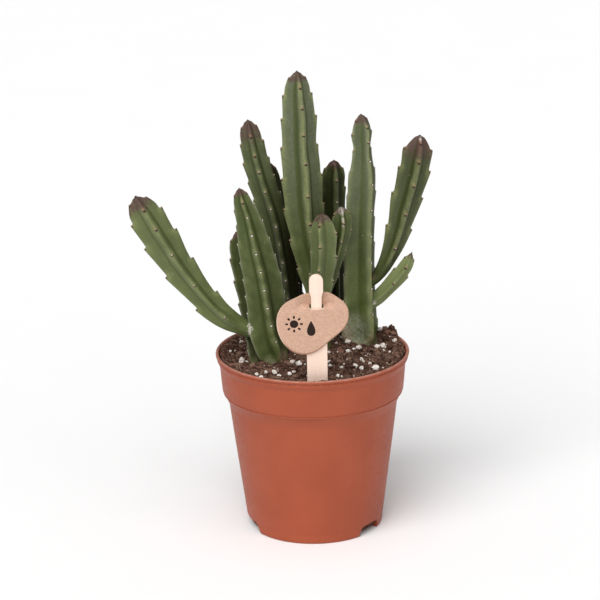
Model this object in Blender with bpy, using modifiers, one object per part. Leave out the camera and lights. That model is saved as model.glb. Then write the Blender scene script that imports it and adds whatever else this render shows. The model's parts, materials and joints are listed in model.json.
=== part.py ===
"""Potted carrion flower: four-ribbed succulent stems in a nursery pot, with a plant label.

Metres, +Z up. The origin is the middle of the pot's flat underside, and the label faces -Y.
"""

import math
from collections import namedtuple

import bmesh
import bpy
from mathutils import Matrix, Vector, noise

MM = 0.001
CLEAR = 0.3 * MM
MERGE = 0.01 * MM
TINY = 1e-9

# Pot
POT_HEIGHT = 84.5 * MM
LIP_R = 45.0 * MM
LIP_DEPTH = 6.5 * MM
LIP_FACE = 2.2 * MM
LIP_DRAFT = 0.4 * MM
LIP_FLARE = 2.0 * MM
LIP_FLARE_OUT = 0.3 * MM
BAND_TOP_R = 43.1 * MM
BAND_LOW_R = 42.0 * MM
BAND_LOW_Z = 65.8 * MM
BODY_TOP_R = 39.3 * MM
BODY_TOP_Z = 60.6 * MM
FOOT_R = 31.6 * MM
POT_WALL = 1.1 * MM
POT_FLOOR = 1.6 * MM
POT_EDGE = 0.7 * MM
POT_SIDES = 48
POT_SHARP = math.radians(30)
NOTCH_ANGLES = (50, 170, 290)
NOTCH_WIDTH = 13.0 * MM
NOTCH_HEIGHT = 4.2 * MM
NOTCH_DEPTH = 9.0 * MM
NOTCH_CORNER = 1.6 * MM

# Soil
SOIL_RIM_Z = 80.6 * MM
SOIL_CROWN = 2.6 * MM
SOIL_TILT = 0.025
SOIL_RELIEF = 1.3 * MM
SOIL_GRAIN = 7.0 * MM
SOIL_FINER = 2.3
SOIL_FINE_SHARE = 0.5
SOIL_RINGS = 10
SOIL_SIDES = 56
FOOT_DEPTH = 18.0 * MM
HOLE_SIDES = 24

# Heaps and hollows in the soil, as (x, y, height, spread) in millimetres
SOIL_HEAPS = (
    (37.0, 17.0, 5.0, 4.6),
    (33.0, 25.0, -2.2, 4.5),
    (20.0, 3.5, 1.4, 7.5),
    (-29.5, -6.5, -1.3, 6.0),
)

# Ribbed stems
RIBS = 4
VALLEY = 0.5
FLANK_POWER = 0.9
SHELF = 0.9 * MM
TIP_LENGTH = 9.0 * MM
TIP_FLAT = 0.12
TIP_POWER = 0.8
RIB_FADE = 5.0 * MM
ROOT_SHARE = 0.84
TWIST_LENGTH = 30.0 * MM
TOOTH_LIFT = 0.6
TOOTH_POWER = 1.6
YOUNG_TOOTH = 0.45
YOUNG_LENGTH = 12.0 * MM
STEM_SHARP = math.radians(40)

# Angles round one rib, from its crest over a flank and the valley to the next flank, by the
# number of sides of the whole section
RIB_ANGLES = {16: (0, 15, 45, 75), 12: (0, 25, 65)}

# Label
STICK_THICK = 1.6 * MM
STICK_BOTTOM_Z = 52.0 * MM
STICK_TOP_Z = 134.2 * MM
STICK_HEAD_HALF = 3.3 * MM
STICK_NECK_HALF = 2.8 * MM
STICK_BODY_HALF = 4.7 * MM
STICK_NECK_DROP = 2.5 * MM
STICK_SHOULDER = 3.0 * MM
STICK_HEAD_DROP = 5.0 * MM
STICK_HEAD_FLARE = 2.5 * MM
STICK_ARC_STEPS = 8
STICK_X = 1.9 * MM
STICK_Y = -38.0 * MM
LABEL_PIVOT_Z = 83.0 * MM
LABEL_LEAN = math.radians(5.0)
CARD_THICK = 0.8 * MM
SLOT_Z = 118.8 * MM
SLOT_HALF = 4.2 * MM
SLOT_GAP = 0.7 * MM
CARD_SIDES = 40
CARD_RINGS = 5
CARD_R = 14.8 * MM
CARD_CENTER = Vector((-2.6, -7.1)) * MM
CARD_LENGTHENED = 1.8 * MM
CARD_LENGTHENED_AT = math.radians(28)
CARD_CORNERS = 1.2 * MM
CARD_CORNER_AT = math.radians(21)
CARD_FLAT_HALF = 3.9 * MM
CARD_BEND_HALF = 10.5 * MM
CARD_SHARP_HALF = 3.6 * MM
CARD_STEP = 0.05 * MM
CARD_STEP_GROWTH = 0.5

# A growth is one stem or branch. Its points run from the root to the tip as (x, y, z, radius), in
# millimetres, with the radius at the tips of the teeth. turn is the front rib's angle from -Y
# towards +X in degrees, and tooth is how far a tooth stands out. The uppermost tooth is tip_step
# below the tip, and each step down to the next level is longer by more, up to step. first_pair is
# 0 where the front and back ribs bear the uppermost teeth, and 1 where the side ribs do. twist is
# how many degrees further the ribs have turned at the root.
Growth = namedtuple("Growth", "points turn tooth tip_step more step first_pair sides twist", defaults=(0,))

CENTER = Growth(
    points=(
        (3.3, 8.0, 83.0, 7.0),
        (3.3, 8.0, 91.4, 7.0),
        (2.9, 8.0, 111.0, 7.3),
        (1.3, 9.0, 124.3, 7.6),
        (-1.1, 9.0, 137.4, 8.3),
        (-2.5, 10.0, 151.5, 9.3),
        (-2.9, 10.0, 167.2, 9.3),
        (-4.0, 11.0, 179.2, 8.6),
        (-4.5, 11.0, 192.3, 8.3),
        (-4.8, 11.0, 203.0, 7.1),
        (-4.8, 11.0, 213.7, 6.0),
    ),
    turn=13,
    tooth=0.8,
    tip_step=3.0,
    more=0.68,
    step=7.1,
    first_pair=1,
    sides=16,
)
CENTER_FRONT = Growth(
    points=(
        (3.0, 6.0, 90.0, 4.2),
        (3.0, 1.5, 102.0, 4.8),
        (3.6, -1.5, 112.5, 5.4),
        (5.2, -4.5, 125.0, 6.0),
        (6.0, -6.0, 137.0, 6.4),
        (5.4, -6.0, 151.5, 5.8),
    ),
    turn=-18,
    tooth=0.8,
    tip_step=4.4,
    more=0.35,
    step=6.0,
    first_pair=0,
    sides=16,
)
CENTER_RIGHT = Growth(
    points=(
        (3.6, 7.0, 92.0, 3.2),
        (5.4, 4.4, 107.5, 3.6),
        (8.7, 2.5, 119.8, 4.2),
        (12.1, 1.5, 132.1, 4.6),
        (14.4, 1.0, 143.5, 4.9),
        (14.2, 1.0, 152.7, 4.4),
    ),
    turn=10,
    tooth=0.7,
    tip_step=3.2,
    more=0.5,
    step=6.0,
    first_pair=1,
    sides=16,
)
LEFT_TALL = Growth(
    points=(
        (-10.3, 20.0, 82.3, 6.6),
        (-10.3, 20.0, 90.0, 6.6),
        (-11.8, 19.0, 109.8, 6.9),
        (-13.8, 18.0, 125.3, 7.0),
        (-16.3, 17.0, 141.2, 6.9),
        (-19.7, 16.0, 154.0, 6.8),
        (-22.3, 15.0, 163.4, 6.6),
        (-24.4, 15.0, 172.0, 6.4),
        (-26.2, 14.0, 181.3, 6.0),
        (-27.8, 14.0, 191.3, 5.2),
    ),
    turn=4,
    tooth=0.6,
    tip_step=3.4,
    more=0.35,
    step=4.5,
    first_pair=1,
    sides=12,
)
FRONT_LEFT = Growth(
    points=(
        (-17.4, -6.5, 81.6, 7.9),
        (-17.9, -6.5, 85.0, 8.5),
        (-19.3, -6.2, 91.0, 9.0),
        (-20.4, -6.0, 98.0, 9.2),
        (-21.0, -6.0, 110.7, 9.0),
        (-22.7, -6.0, 123.1, 8.3),
        (-25.2, -6.0, 135.0, 7.4),
        (-28.7, -6.0, 149.3, 6.0),
        (-30.3, -6.0, 157.3, 5.0),
        (-32.0, -6.0, 164.4, 4.2),
    ),
    turn=3,
    tooth=0.5,
    tip_step=3.0,
    more=0.25,
    step=4.3,
    first_pair=1,
    sides=16,
    twist=28,
)
FRONT_LEFT_ARM = Growth(
    points=(
        (-24.0, -5.5, 95.5, 3.3),
        (-30.4, -6.0, 98.1, 3.7),
        (-38.6, -6.6, 103.2, 5.0),
        (-46.9, -7.0, 109.9, 6.5),
        (-59.6, -7.0, 126.8, 8.0),
        (-68.0, -7.0, 140.9, 8.9),
        (-74.0, -7.0, 151.6, 8.4),
        (-77.6, -7.0, 158.5, 7.4),
        (-78.9, -7.0, 161.8, 6.6),
    ),
    turn=14,
    tooth=1.3,
    tip_step=3.4,
    more=0.75,
    step=10.0,
    first_pair=1,
    sides=16,
)
LEFT_LOW = Growth(
    points=(
        (-26.8, 0.2, 80.6, 3.6),
        (-27.2, 0.8, 86.0, 3.8),
        (-28.4, 3.6, 95.0, 4.2),
        (-29.8, 7.5, 106.5, 4.6),
        (-32.8, 9.0, 125.9, 4.8),
        (-34.3, 9.0, 139.5, 4.0),
    ),
    turn=-12,
    tooth=0.9,
    tip_step=3.6,
    more=0.5,
    step=5.6,
    first_pair=0,
    sides=12,
)
BACK_LEFT = Growth(
    points=(
        (-7.5, 33.0, 81.8, 4.0),
        (-7.7, 33.0, 88.0, 4.0),
        (-10.7, 32.0, 118.6, 4.8),
        (-14.5, 31.0, 138.7, 5.4),
        (-17.4, 30.0, 156.0, 5.2),
        (-18.6, 30.0, 167.1, 3.8),
    ),
    turn=20,
    tooth=0.6,
    tip_step=3.2,
    more=0.35,
    step=4.8,
    first_pair=1,
    sides=12,
)
BACK_RIGHT = Growth(
    points=(
        (11.7, 27.0, 82.4, 4.8),
        (11.7, 27.0, 92.0, 4.8),
        (12.0, 27.0, 118.0, 5.3),
        (12.2, 27.0, 134.4, 5.6),
        (12.0, 27.0, 153.8, 5.7),
        (11.9, 27.0, 168.3, 5.6),
    ),
    turn=16,
    tooth=0.8,
    tip_step=4.2,
    more=0.4,
    step=6.2,
    first_pair=1,
    sides=12,
)
RIGHT = Growth(
    points=(
        (22.5, 14.0, 83.0, 10.2),
        (22.6, 14.0, 88.5, 10.8),
        (22.7, 14.0, 95.0, 10.3),
        (22.6, 14.0, 103.8, 9.8),
        (22.6, 14.0, 120.9, 9.4),
        (23.2, 14.0, 142.7, 8.7),
        (24.2, 14.0, 161.8, 8.3),
        (24.4, 14.0, 175.5, 5.6),
        (24.3, 14.0, 184.0, 6.0),
        (24.1, 14.0, 193.0, 4.8),
    ),
    turn=40,
    tooth=0.6,
    tip_step=2.6,
    more=0.4,
    step=6.3,
    first_pair=1,
    sides=16,
)
RIGHT_ARM = Growth(
    points=(
        (26.0, 14.0, 111.5, 3.0),
        (30.8, 13.0, 115.6, 3.4),
        (34.0, 12.2, 120.6, 4.4),
        (37.4, 12.0, 128.0, 5.4),
        (40.2, 12.0, 136.0, 6.2),
        (44.5, 12.0, 152.6, 7.7),
        (48.0, 12.0, 165.6, 7.9),
        (49.9, 12.0, 175.9, 7.2),
        (51.0, 12.0, 183.1, 6.0),
    ),
    turn=18,
    tooth=1.3,
    tip_step=3.0,
    more=0.75,
    step=9.5,
    first_pair=0,
    sides=16,
)
RIGHT_TWIG = Growth(
    points=(
        (26.0, 14.0, 102.0, 2.8),
        (31.5, 13.0, 106.3, 3.2),
        (39.5, 11.0, 115.0, 4.0),
        (44.2, 10.0, 121.5, 3.8),
        (47.0, 10.0, 127.8, 3.0),
    ),
    turn=0,
    tooth=0.8,
    tip_step=3.2,
    more=0.6,
    step=6.0,
    first_pair=1,
    sides=12,
)

# Each plant is one node: the stem that stands in the soil first, then what grows from it.
PLANTS = {
    "stem_center": (CENTER, CENTER_FRONT, CENTER_RIGHT),
    "stem_left_tall": (LEFT_TALL,),
    "stem_front_left": (FRONT_LEFT, FRONT_LEFT_ARM),
    "stem_left_low": (LEFT_LOW,),
    "stem_back_left": (BACK_LEFT,),
    "stem_back_right": (BACK_RIGHT,),
    "stem_right": (RIGHT, RIGHT_ARM, RIGHT_TWIG),
}

# Colour, roughness and metallic value of each finish
FINISHES = {
    "pot": ((0.42, 0.115, 0.055), 0.45, 0.0),
    "soil": ((0.045, 0.022, 0.014), 0.95, 0.0),
    "stem": ((0.075, 0.125, 0.045), 0.5, 0.0),
    "stick": ((0.78, 0.57, 0.40), 0.7, 0.0),
    "card": ((0.62, 0.38, 0.24), 0.8, 0.0),
}


def clear_scene():
    for old in list(bpy.data.objects):
        bpy.data.objects.remove(old, do_unlink=True)


def new_collection(name):
    made = bpy.data.collections.new(name)
    bpy.context.scene.collection.children.link(made)
    return made


def finish(name, kind):
    """A material of the part's own, from the table of finishes."""
    colour, roughness, metallic = FINISHES[kind]
    made = bpy.data.materials.new(name)
    made.use_nodes = True
    shader = made.node_tree.nodes["Principled BSDF"]
    shader.inputs["Base Color"].default_value = (*colour, 1.0)
    shader.inputs["Roughness"].default_value = roughness
    shader.inputs["Metallic"].default_value = metallic
    made.diffuse_color = (*colour, 1.0)
    return made


def new_object(name, mesh, collection, kind=None):
    made = bpy.data.objects.new(name, mesh)
    collection.objects.link(made)
    if kind:
        mesh.materials.append(finish(name, kind))
    return made


def mesh_from(bm, name, recalculate=True):
    """The bmesh as a mesh datablock, its faces turned outwards."""
    if recalculate:
        bmesh.ops.recalc_face_normals(bm, faces=bm.faces)
    mesh = bpy.data.meshes.new(name)
    bm.to_mesh(mesh)
    bm.free()
    return mesh


def make_cutter(obj):
    obj.hide_render = True
    obj.display_type = "WIRE"


def apply_modifiers(obj):
    """Bakes the object's modifiers into its mesh."""
    graph = bpy.context.evaluated_depsgraph_get()
    mesh = bpy.data.meshes.new_from_object(obj.evaluated_get(graph))
    obj.modifiers.clear()
    obj.data = mesh


def round_smooth(obj, angle):
    obj.data.shade_smooth()
    obj.data.set_sharp_from_angle(angle=angle)


def wall_radius(z):
    """The pot's outer radius below its lip."""
    if z <= BODY_TOP_Z:
        return FOOT_R + (BODY_TOP_R - FOOT_R) * z / BODY_TOP_Z
    if z <= BAND_LOW_Z:
        return BODY_TOP_R + (BAND_LOW_R - BODY_TOP_R) * (z - BODY_TOP_Z) / (BAND_LOW_Z - BODY_TOP_Z)
    band_top_z = POT_HEIGHT - LIP_DEPTH
    return BAND_LOW_R + (BAND_TOP_R - BAND_LOW_R) * min(1.0, (z - BAND_LOW_Z) / (band_top_z - BAND_LOW_Z))


def pot_profile():
    """Half of the pot's section: up the inside from the floor's middle, then down the outside."""
    band_top_z = POT_HEIGHT - LIP_DEPTH
    outside = [
        (LIP_R - POT_EDGE, POT_HEIGHT),
        (LIP_R, POT_HEIGHT - POT_EDGE),
        (LIP_R - LIP_DRAFT, POT_HEIGHT - LIP_FACE),
        (BAND_TOP_R + LIP_FLARE_OUT, band_top_z + LIP_FLARE),
        (BAND_TOP_R, band_top_z),
        (BAND_LOW_R, BAND_LOW_Z + POT_EDGE),
        (BAND_LOW_R - POT_EDGE / 2, BAND_LOW_Z - POT_EDGE / 2),
        (BODY_TOP_R + POT_EDGE / 2, BODY_TOP_Z + POT_EDGE),
        (BODY_TOP_R, BODY_TOP_Z - POT_EDGE),
        (wall_radius(POT_EDGE), POT_EDGE),
        (FOOT_R - POT_EDGE, 0.0),
        (0.0, 0.0),
    ]
    inside = [(0.0, POT_FLOOR), (FOOT_R - POT_WALL, POT_FLOOR)]
    inside += [(radius - POT_WALL, z) for radius, z in reversed(outside[2:9])]
    inside += [(LIP_R - POT_EDGE - POT_WALL, POT_HEIGHT)]
    return inside + outside


def make_pot(parts, cutters):
    mesh = bpy.data.meshes.new("pot")
    profile = pot_profile()
    edges = [(i, i + 1) for i in range(len(profile) - 1)]
    mesh.from_pydata([(radius, 0.0, z) for radius, z in profile], edges, [])
    pot = new_object("pot", mesh, parts, "pot")
    turn = pot.modifiers.new("turn", "SCREW")
    turn.steps = POT_SIDES
    turn.render_steps = POT_SIDES
    turn.use_merge_vertices = True
    turn.merge_threshold = MERGE
    for angle in NOTCH_ANGLES:
        make_notch(angle, cutters)
    cut = pot.modifiers.new("notches", "BOOLEAN")
    cut.operand_type = "COLLECTION"
    cut.collection = cutters
    apply_modifiers(pot)
    round_smooth(pot, POT_SHARP)


def make_notch(angle, cutters):
    """A drain notch through the wall and the floor's edge, with its two upper corners rounded."""
    bm = bmesh.new()
    bmesh.ops.create_cube(bm, size=1.0)
    size = Matrix.Diagonal((NOTCH_WIDTH, NOTCH_DEPTH, 2 * NOTCH_HEIGHT, 1.0))
    bmesh.ops.transform(bm, matrix=size, verts=bm.verts)
    upper = [e for e in bm.edges if all(v.co.z > 0 for v in e.verts)]
    corners = [e for e in upper if abs(e.verts[0].co.y - e.verts[1].co.y) > NOTCH_DEPTH / 2]
    bmesh.ops.bevel(
        bm, geom=corners, offset=NOTCH_CORNER, segments=3, profile=0.5, affect="EDGES", material=-1
    )
    notch = new_object(f"notch_{angle}", mesh_from(bm, "notch"), cutters)
    turned = math.radians(angle)
    notch.location = (FOOT_R * math.sin(turned), -FOOT_R * math.cos(turned), 0.0)
    notch.rotation_euler = (0.0, 0.0, turned)
    make_cutter(notch)


def soil_top(x, y):
    """Height of the soil: mounded to the middle, higher at the back right, lumpy, with a few heaps."""
    across = math.hypot(x, y) / BAND_TOP_R
    crown = SOIL_CROWN * (1.0 - across * across)
    lumps = noise.noise(Vector((x, y, 0.0)) / SOIL_GRAIN)
    grains = noise.noise(Vector((x, y, SOIL_GRAIN)) * SOIL_FINER / SOIL_GRAIN)
    relief = SOIL_RELIEF * (lumps + SOIL_FINE_SHARE * grains)
    heaps = 0.0
    for heap_x, heap_y, height, spread in SOIL_HEAPS:
        away = math.hypot(x - heap_x * MM, y - heap_y * MM) / (spread * MM)
        heaps += height * MM * math.exp(-away * away)
    return SOIL_RIM_Z + crown + SOIL_TILT * (x + y) + relief + heaps


def soil_side():
    """Radii and heights of the soil's side, from the pot's floor up to the band."""
    side = [(FOOT_R - POT_WALL - CLEAR, POT_FLOOR + CLEAR)]
    for corner in (BODY_TOP_Z, BAND_LOW_Z):
        for z in (corner - POT_EDGE, corner + 2 * POT_EDGE):
            side.append((wall_radius(z) - POT_WALL - 2 * CLEAR, z))
    return side


def make_soil(parts):
    """The filling: its side ring by ring, then rings across the surface to the middle."""
    bm = bmesh.new()
    side = soil_side()
    rim = wall_radius(SOIL_RIM_Z) - POT_WALL - 2 * CLEAR
    bottom = bmesh.ops.create_circle(bm, cap_ends=True, segments=SOIL_SIDES, radius=side[0][0])["verts"]
    bmesh.ops.translate(bm, vec=(0.0, 0.0, side[0][1]), verts=bottom)
    lid = bm.faces[:]
    for radius, z in side[1:]:
        lid = raise_ring(bm, lid, radius, z)
    lid = raise_ring(bm, lid, rim, SOIL_RIM_Z)
    for ring in range(1, SOIL_RINGS):
        lid = raise_ring(bm, lid, rim * (1.0 - ring / SOIL_RINGS), SOIL_RIM_Z)
    bmesh.ops.poke(bm, faces=lid)
    for vert in bm.verts:
        if vert.co.z >= SOIL_RIM_Z - CLEAR:
            vert.co.z = soil_top(vert.co.x, vert.co.y)
    close_bottom(bm)
    bmesh.ops.triangulate(bm, faces=bm.faces)
    return new_object("soil", mesh_from(bm, "soil"), parts, "soil")


def raise_ring(bm, lid, radius, z):
    """Extrudes the lid and puts its rim at this radius and height, all round."""
    made = bmesh.ops.extrude_face_region(bm, geom=lid)["geom"]
    bmesh.ops.delete(bm, geom=lid, context="FACES_ONLY")
    for item in made:
        if isinstance(item, bmesh.types.BMVert):
            flat = Vector((item.co.x, item.co.y)).normalized() * radius
            item.co = (flat.x, flat.y, z)
    return [item for item in made if isinstance(item, bmesh.types.BMFace)]


def close_bottom(bm):
    """Caps the open ring that the first extrusion leaves."""
    rim = [e for e in bm.edges if e.is_boundary]
    bmesh.ops.contextual_create(bm, geom=rim)


def catmull_rom(a, b, c, d, t):
    """A smooth curve from b to c, with a and d as its outer neighbours."""
    square = 2.0 * a - 5.0 * b + 4.0 * c - d
    cube = 3.0 * b - a - 3.0 * c + d
    return 0.5 * (2.0 * b + (c - a) * t + square * t ** 2 + cube * t ** 3)


class Axis:
    """A growth's middle line and rib radius, by the distance below its tip."""

    STEPS = 12

    def __init__(self, growth, foot_z=None):
        points = [Vector(p) * MM for p in growth.points]
        if foot_z is not None:
            low = points[0].copy()
            low.z = foot_z
            points.insert(0, low)
        self.samples = [points[0]]
        last = len(points) - 1
        for i in range(last):
            around = (points[max(i - 1, 0)], points[i], points[i + 1], points[min(i + 2, last)])
            for k in range(1, self.STEPS + 1):
                self.samples.append(catmull_rom(*around, k / self.STEPS))
        self.samples.reverse()
        self.below = [0.0]
        for here, there in zip(self.samples, self.samples[1:]):
            self.below.append(self.below[-1] + (there.xyz - here.xyz).length)
        self.length = self.below[-1]

    def at(self, below):
        """(point, upward direction, radius) at this distance below the tip."""
        below = min(max(below, 0.0), self.length)
        i = 0
        while i < len(self.below) - 2 and self.below[i + 1] < below:
            i += 1
        share = (below - self.below[i]) / (self.below[i + 1] - self.below[i])
        mixed = self.samples[i].lerp(self.samples[i + 1], share)
        ahead = self.samples[max(i - 2, 0)]
        behind = self.samples[min(i + 3, len(self.samples) - 1)]
        return mixed.xyz, (ahead.xyz - behind.xyz).normalized(), mixed.w


def tooth_levels(growth, length):
    """Distances below the tip at which teeth stand, closer together towards the tip."""
    levels = [growth.tip_step * MM]
    while True:
        step = min(growth.step, growth.tip_step + growth.more * len(levels)) * MM
        if levels[-1] + step > length:
            return levels
        levels.append(levels[-1] + step)


def tooth_share(growth, levels, rib, below):
    """The share of a whole tooth that the rib's crest has here: a slope up to each, and a shelf above it."""
    own = [d for i, d in enumerate(levels) if (i + rib + growth.first_pair) % 2 == 0]
    above = [d for d in own if d <= below + TINY]
    if not above:
        return 0.0
    under = [d for d in own if d > below + TINY]
    gap = (under[0] if under else above[-1] + 2 * growth.step * MM) - above[-1]
    share = min(1.0, (below - above[-1]) / gap)
    return (1.0 - share) ** TOOTH_POWER


def tip_shape(below):
    """The share of its radius that a stem has this far below its tip."""
    share = min(1.0, below / TIP_LENGTH)
    return TIP_FLAT + (1.0 - TIP_FLAT) * math.sin(math.pi / 2 * share) ** TIP_POWER


def side_angles(sides):
    """Angles round the whole section, from the first rib's crest."""
    return [math.radians(90 * rib + offset) for rib in range(RIBS) for offset in RIB_ANGLES[sides]]


def make_growth(growth, name, collection, foot_z=None, round_below=0.0):
    """One stem or branch: a capped tube, a ring for each tooth and each shelf, shaped by the ribs."""
    axis = Axis(growth, foot_z)
    ribbed = axis.length - round_below
    levels = tooth_levels(growth, ribbed - RIB_FADE)
    rings = [0.0]
    for level in levels:
        rings += [level - SHELF, level]
    rings += [ribbed - RIB_FADE / 2, ribbed]
    if round_below:
        rings.append(axis.length)
    angles = side_angles(growth.sides)
    bm = bmesh.new()
    bmesh.ops.create_cone(
        bm, cap_ends=True, segments=growth.sides, radius1=1.0, radius2=1.0, depth=float(len(rings) - 1)
    )
    upright = [e for e in bm.edges if abs(e.verts[0].co.z - e.verts[1].co.z) > 0.5]
    bmesh.ops.subdivide_edges(bm, edges=upright, cuts=len(rings) - 2, use_grid_fill=False)
    half = (len(rings) - 1) / 2
    for vert in bm.verts:
        ring = round(half - vert.co.z)
        side = round(math.atan2(vert.co.y, vert.co.x) / math.tau * growth.sides) % growth.sides
        vert.co = growth_point(growth, axis, levels, ribbed, rings[ring], angles[side])
    new_object(name, mesh_from(bm, name, recalculate=False), collection)


def growth_point(growth, axis, levels, ribbed, below, angle):
    """A point of the surface, by its distance below the tip and its angle from the first rib."""
    middle, up, radius = axis.at(below)
    fade = min(1.0, max(0.0, (ribbed - below) / RIB_FADE))
    swing = abs(math.sin(2.0 * angle)) ** FLANK_POWER
    tooth = growth.tooth * MM * fade * min(1.0, YOUNG_TOOTH + below / YOUNG_LENGTH * (1.0 - YOUNG_TOOTH))
    girth = radius * tip_shape(below) * (ROOT_SHARE + (1.0 - ROOT_SHARE) * fade)
    reach = girth * (1.0 - (1.0 - VALLEY) * fade * swing) - tooth * (1.0 - swing)
    lift = 0.0
    if swing < TINY:
        rib = round(angle / (math.pi / 2)) % RIBS
        share = tooth_share(growth, levels, rib, below)
        reach += tooth * share
        if share > 1.0 - TINY:
            lift = TOOTH_LIFT * tooth
    front = Vector((0.0, -1.0, 0.0))
    front = (front - front.dot(up) * up).normalized()
    right = up.cross(front)
    root_share = max(0.0, 1.0 - max(0.0, ribbed - below) / TWIST_LENGTH)
    turned = angle + math.radians(growth.turn + growth.twist * root_share)
    return middle + (front * math.cos(turned) + right * math.sin(turned)) * reach + up * lift


def make_plant(name, growths, parts):
    """A stem on its round root, joined with its branches into one solid."""
    pieces = new_collection(name + "_pieces")
    root = growths[0].points[0]
    ground = root[2] * MM
    foot_z = ground - FOOT_DEPTH
    make_growth(growths[0], name + "_stem", pieces, foot_z, FOOT_DEPTH)
    for i, branch in enumerate(growths[1:]):
        make_growth(branch, f"{name}_branch_{i}", pieces)
    main, *branches = list(pieces.objects)
    plant = new_object(name, main.data, parts, "stem")
    if branches:
        pieces.objects.unlink(main)
        join = plant.modifiers.new("branches", "BOOLEAN")
        join.operation = "UNION"
        join.operand_type = "COLLECTION"
        join.collection = pieces
        apply_modifiers(plant)
    bpy.data.objects.remove(main, do_unlink=True)
    for branch in branches:
        bpy.data.objects.remove(branch, do_unlink=True)
    bpy.data.collections.remove(pieces)
    round_smooth(plant, STEM_SHARP)


def make_hole(name, growth, cutters):
    """A plain round hole in the soil for a stem's root."""
    x, y, ground, radius = (value * MM for value in growth.points[0])
    wide = (radius * ROOT_SHARE + CLEAR) / math.cos(math.pi / HOLE_SIDES)
    low = ground - FOOT_DEPTH - CLEAR
    high = POT_HEIGHT + FOOT_DEPTH
    bm = bmesh.new()
    bmesh.ops.create_cone(
        bm, cap_ends=True, segments=HOLE_SIDES, radius1=wide, radius2=wide, depth=high - low
    )
    hole = new_object(name, mesh_from(bm, name), cutters)
    hole.location = (x, y, (low + high) / 2)
    make_cutter(hole)


def label_frame():
    """Places the label: x across, y up along the stick and z towards the viewer, leaning to -Y."""
    place = Matrix.Translation((STICK_X, STICK_Y, LABEL_PIVOT_Z))
    return place @ Matrix.Rotation(math.pi / 2 + LABEL_LEAN, 4, "X")


def stick_outline():
    """The stick seen from the front, as heights above the pivot and half widths."""
    head_low = STICK_TOP_Z - LABEL_PIVOT_Z - STICK_HEAD_HALF
    neck_low = SLOT_Z - LABEL_PIVOT_Z - STICK_NECK_DROP
    right = [
        (STICK_BODY_HALF, STICK_BOTTOM_Z - LABEL_PIVOT_Z),
        (STICK_BODY_HALF, neck_low - STICK_SHOULDER),
        (STICK_NECK_HALF, neck_low),
        (STICK_NECK_HALF, head_low - STICK_HEAD_DROP - STICK_HEAD_FLARE),
        (STICK_HEAD_HALF, head_low - STICK_HEAD_DROP),
    ]
    for step in range(STICK_ARC_STEPS + 1):
        angle = math.pi / 2 * step / STICK_ARC_STEPS
        right.append((STICK_HEAD_HALF * math.cos(angle), head_low + STICK_HEAD_HALF * math.sin(angle)))
    left = [(-x, y) for x, y in reversed(right[:-1])]
    return right + left


def make_stick(parts):
    """The flat wooden stick, an outline with a thickness."""
    curve = bpy.data.curves.new("label_stick", "CURVE")
    curve.dimensions = "2D"
    curve.fill_mode = "BOTH"
    curve.extrude = STICK_THICK / 2
    outline = stick_outline()
    spline = curve.splines.new("POLY")
    spline.points.add(len(outline) - 1)
    for point, (x, y) in zip(spline.points, outline):
        point.co = (x, y, 0.0, 1.0)
    spline.use_cyclic_u = True
    guide = new_object("label_stick_outline", curve, parts)
    graph = bpy.context.evaluated_depsgraph_get()
    mesh = bpy.data.meshes.new_from_object(guide.evaluated_get(graph))
    bpy.data.objects.remove(guide, do_unlink=True)
    bm = bmesh.new()
    bm.from_mesh(mesh)
    bmesh.ops.remove_doubles(bm, verts=bm.verts, dist=MERGE)
    bpy.data.meshes.remove(mesh)
    stick = new_object("label_stick", mesh_from(bm, "label_stick"), parts, "stick")
    stick.matrix_world = label_frame()


def make_stick_slot(cutters):
    """The slot that the stick's foot leaves in the soil."""
    low = STICK_BOTTOM_Z - LABEL_PIVOT_Z - CLEAR
    high = POT_HEIGHT - LABEL_PIVOT_Z + FOOT_DEPTH
    bm = bmesh.new()
    bmesh.ops.create_cube(bm, size=1.0)
    size = (2 * (STICK_BODY_HALF + CLEAR), high - low, STICK_THICK + 2 * CLEAR, 1.0)
    bmesh.ops.transform(bm, matrix=Matrix.Diagonal(size), verts=bm.verts)
    bmesh.ops.translate(bm, vec=(0.0, (low + high) / 2, 0.0), verts=bm.verts)
    slot = new_object("stick_slot", mesh_from(bm, "stick_slot"), cutters)
    slot.matrix_world = label_frame()
    make_cutter(slot)


def pebble(angle):
    """The card's outline about the slot: a circle drawn out to the upper right, with three blunt corners."""
    out = CARD_R + CARD_LENGTHENED * math.cos(2.0 * (angle - CARD_LENGTHENED_AT))
    out += CARD_CORNERS * math.cos(3.0 * (angle - CARD_CORNER_AT))
    return CARD_CENTER + Vector((math.cos(angle), math.sin(angle))) * out


def slot_point(angle):
    """The slot's outline: a long narrow oval."""
    return Vector((SLOT_HALF * math.cos(angle), SLOT_GAP * math.sin(angle)))


def smooth_step(low, high, value):
    share = min(1.0, max(0.0, (value - low) / (high - low)))
    return share * share * (3.0 - 2.0 * share)


def card_bend(x, y):
    """How far back the card bends at (x, y) from the slot, as its top lies behind the stick."""
    across = 1.0 - smooth_step(CARD_FLAT_HALF, CARD_BEND_HALF, abs(x))
    step = CARD_STEP + CARD_STEP_GROWTH * max(0.0, abs(x) - CARD_SHARP_HALF)
    return across * smooth_step(-step, step, y) * (STICK_THICK + CARD_THICK + 4 * CLEAR)


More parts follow.
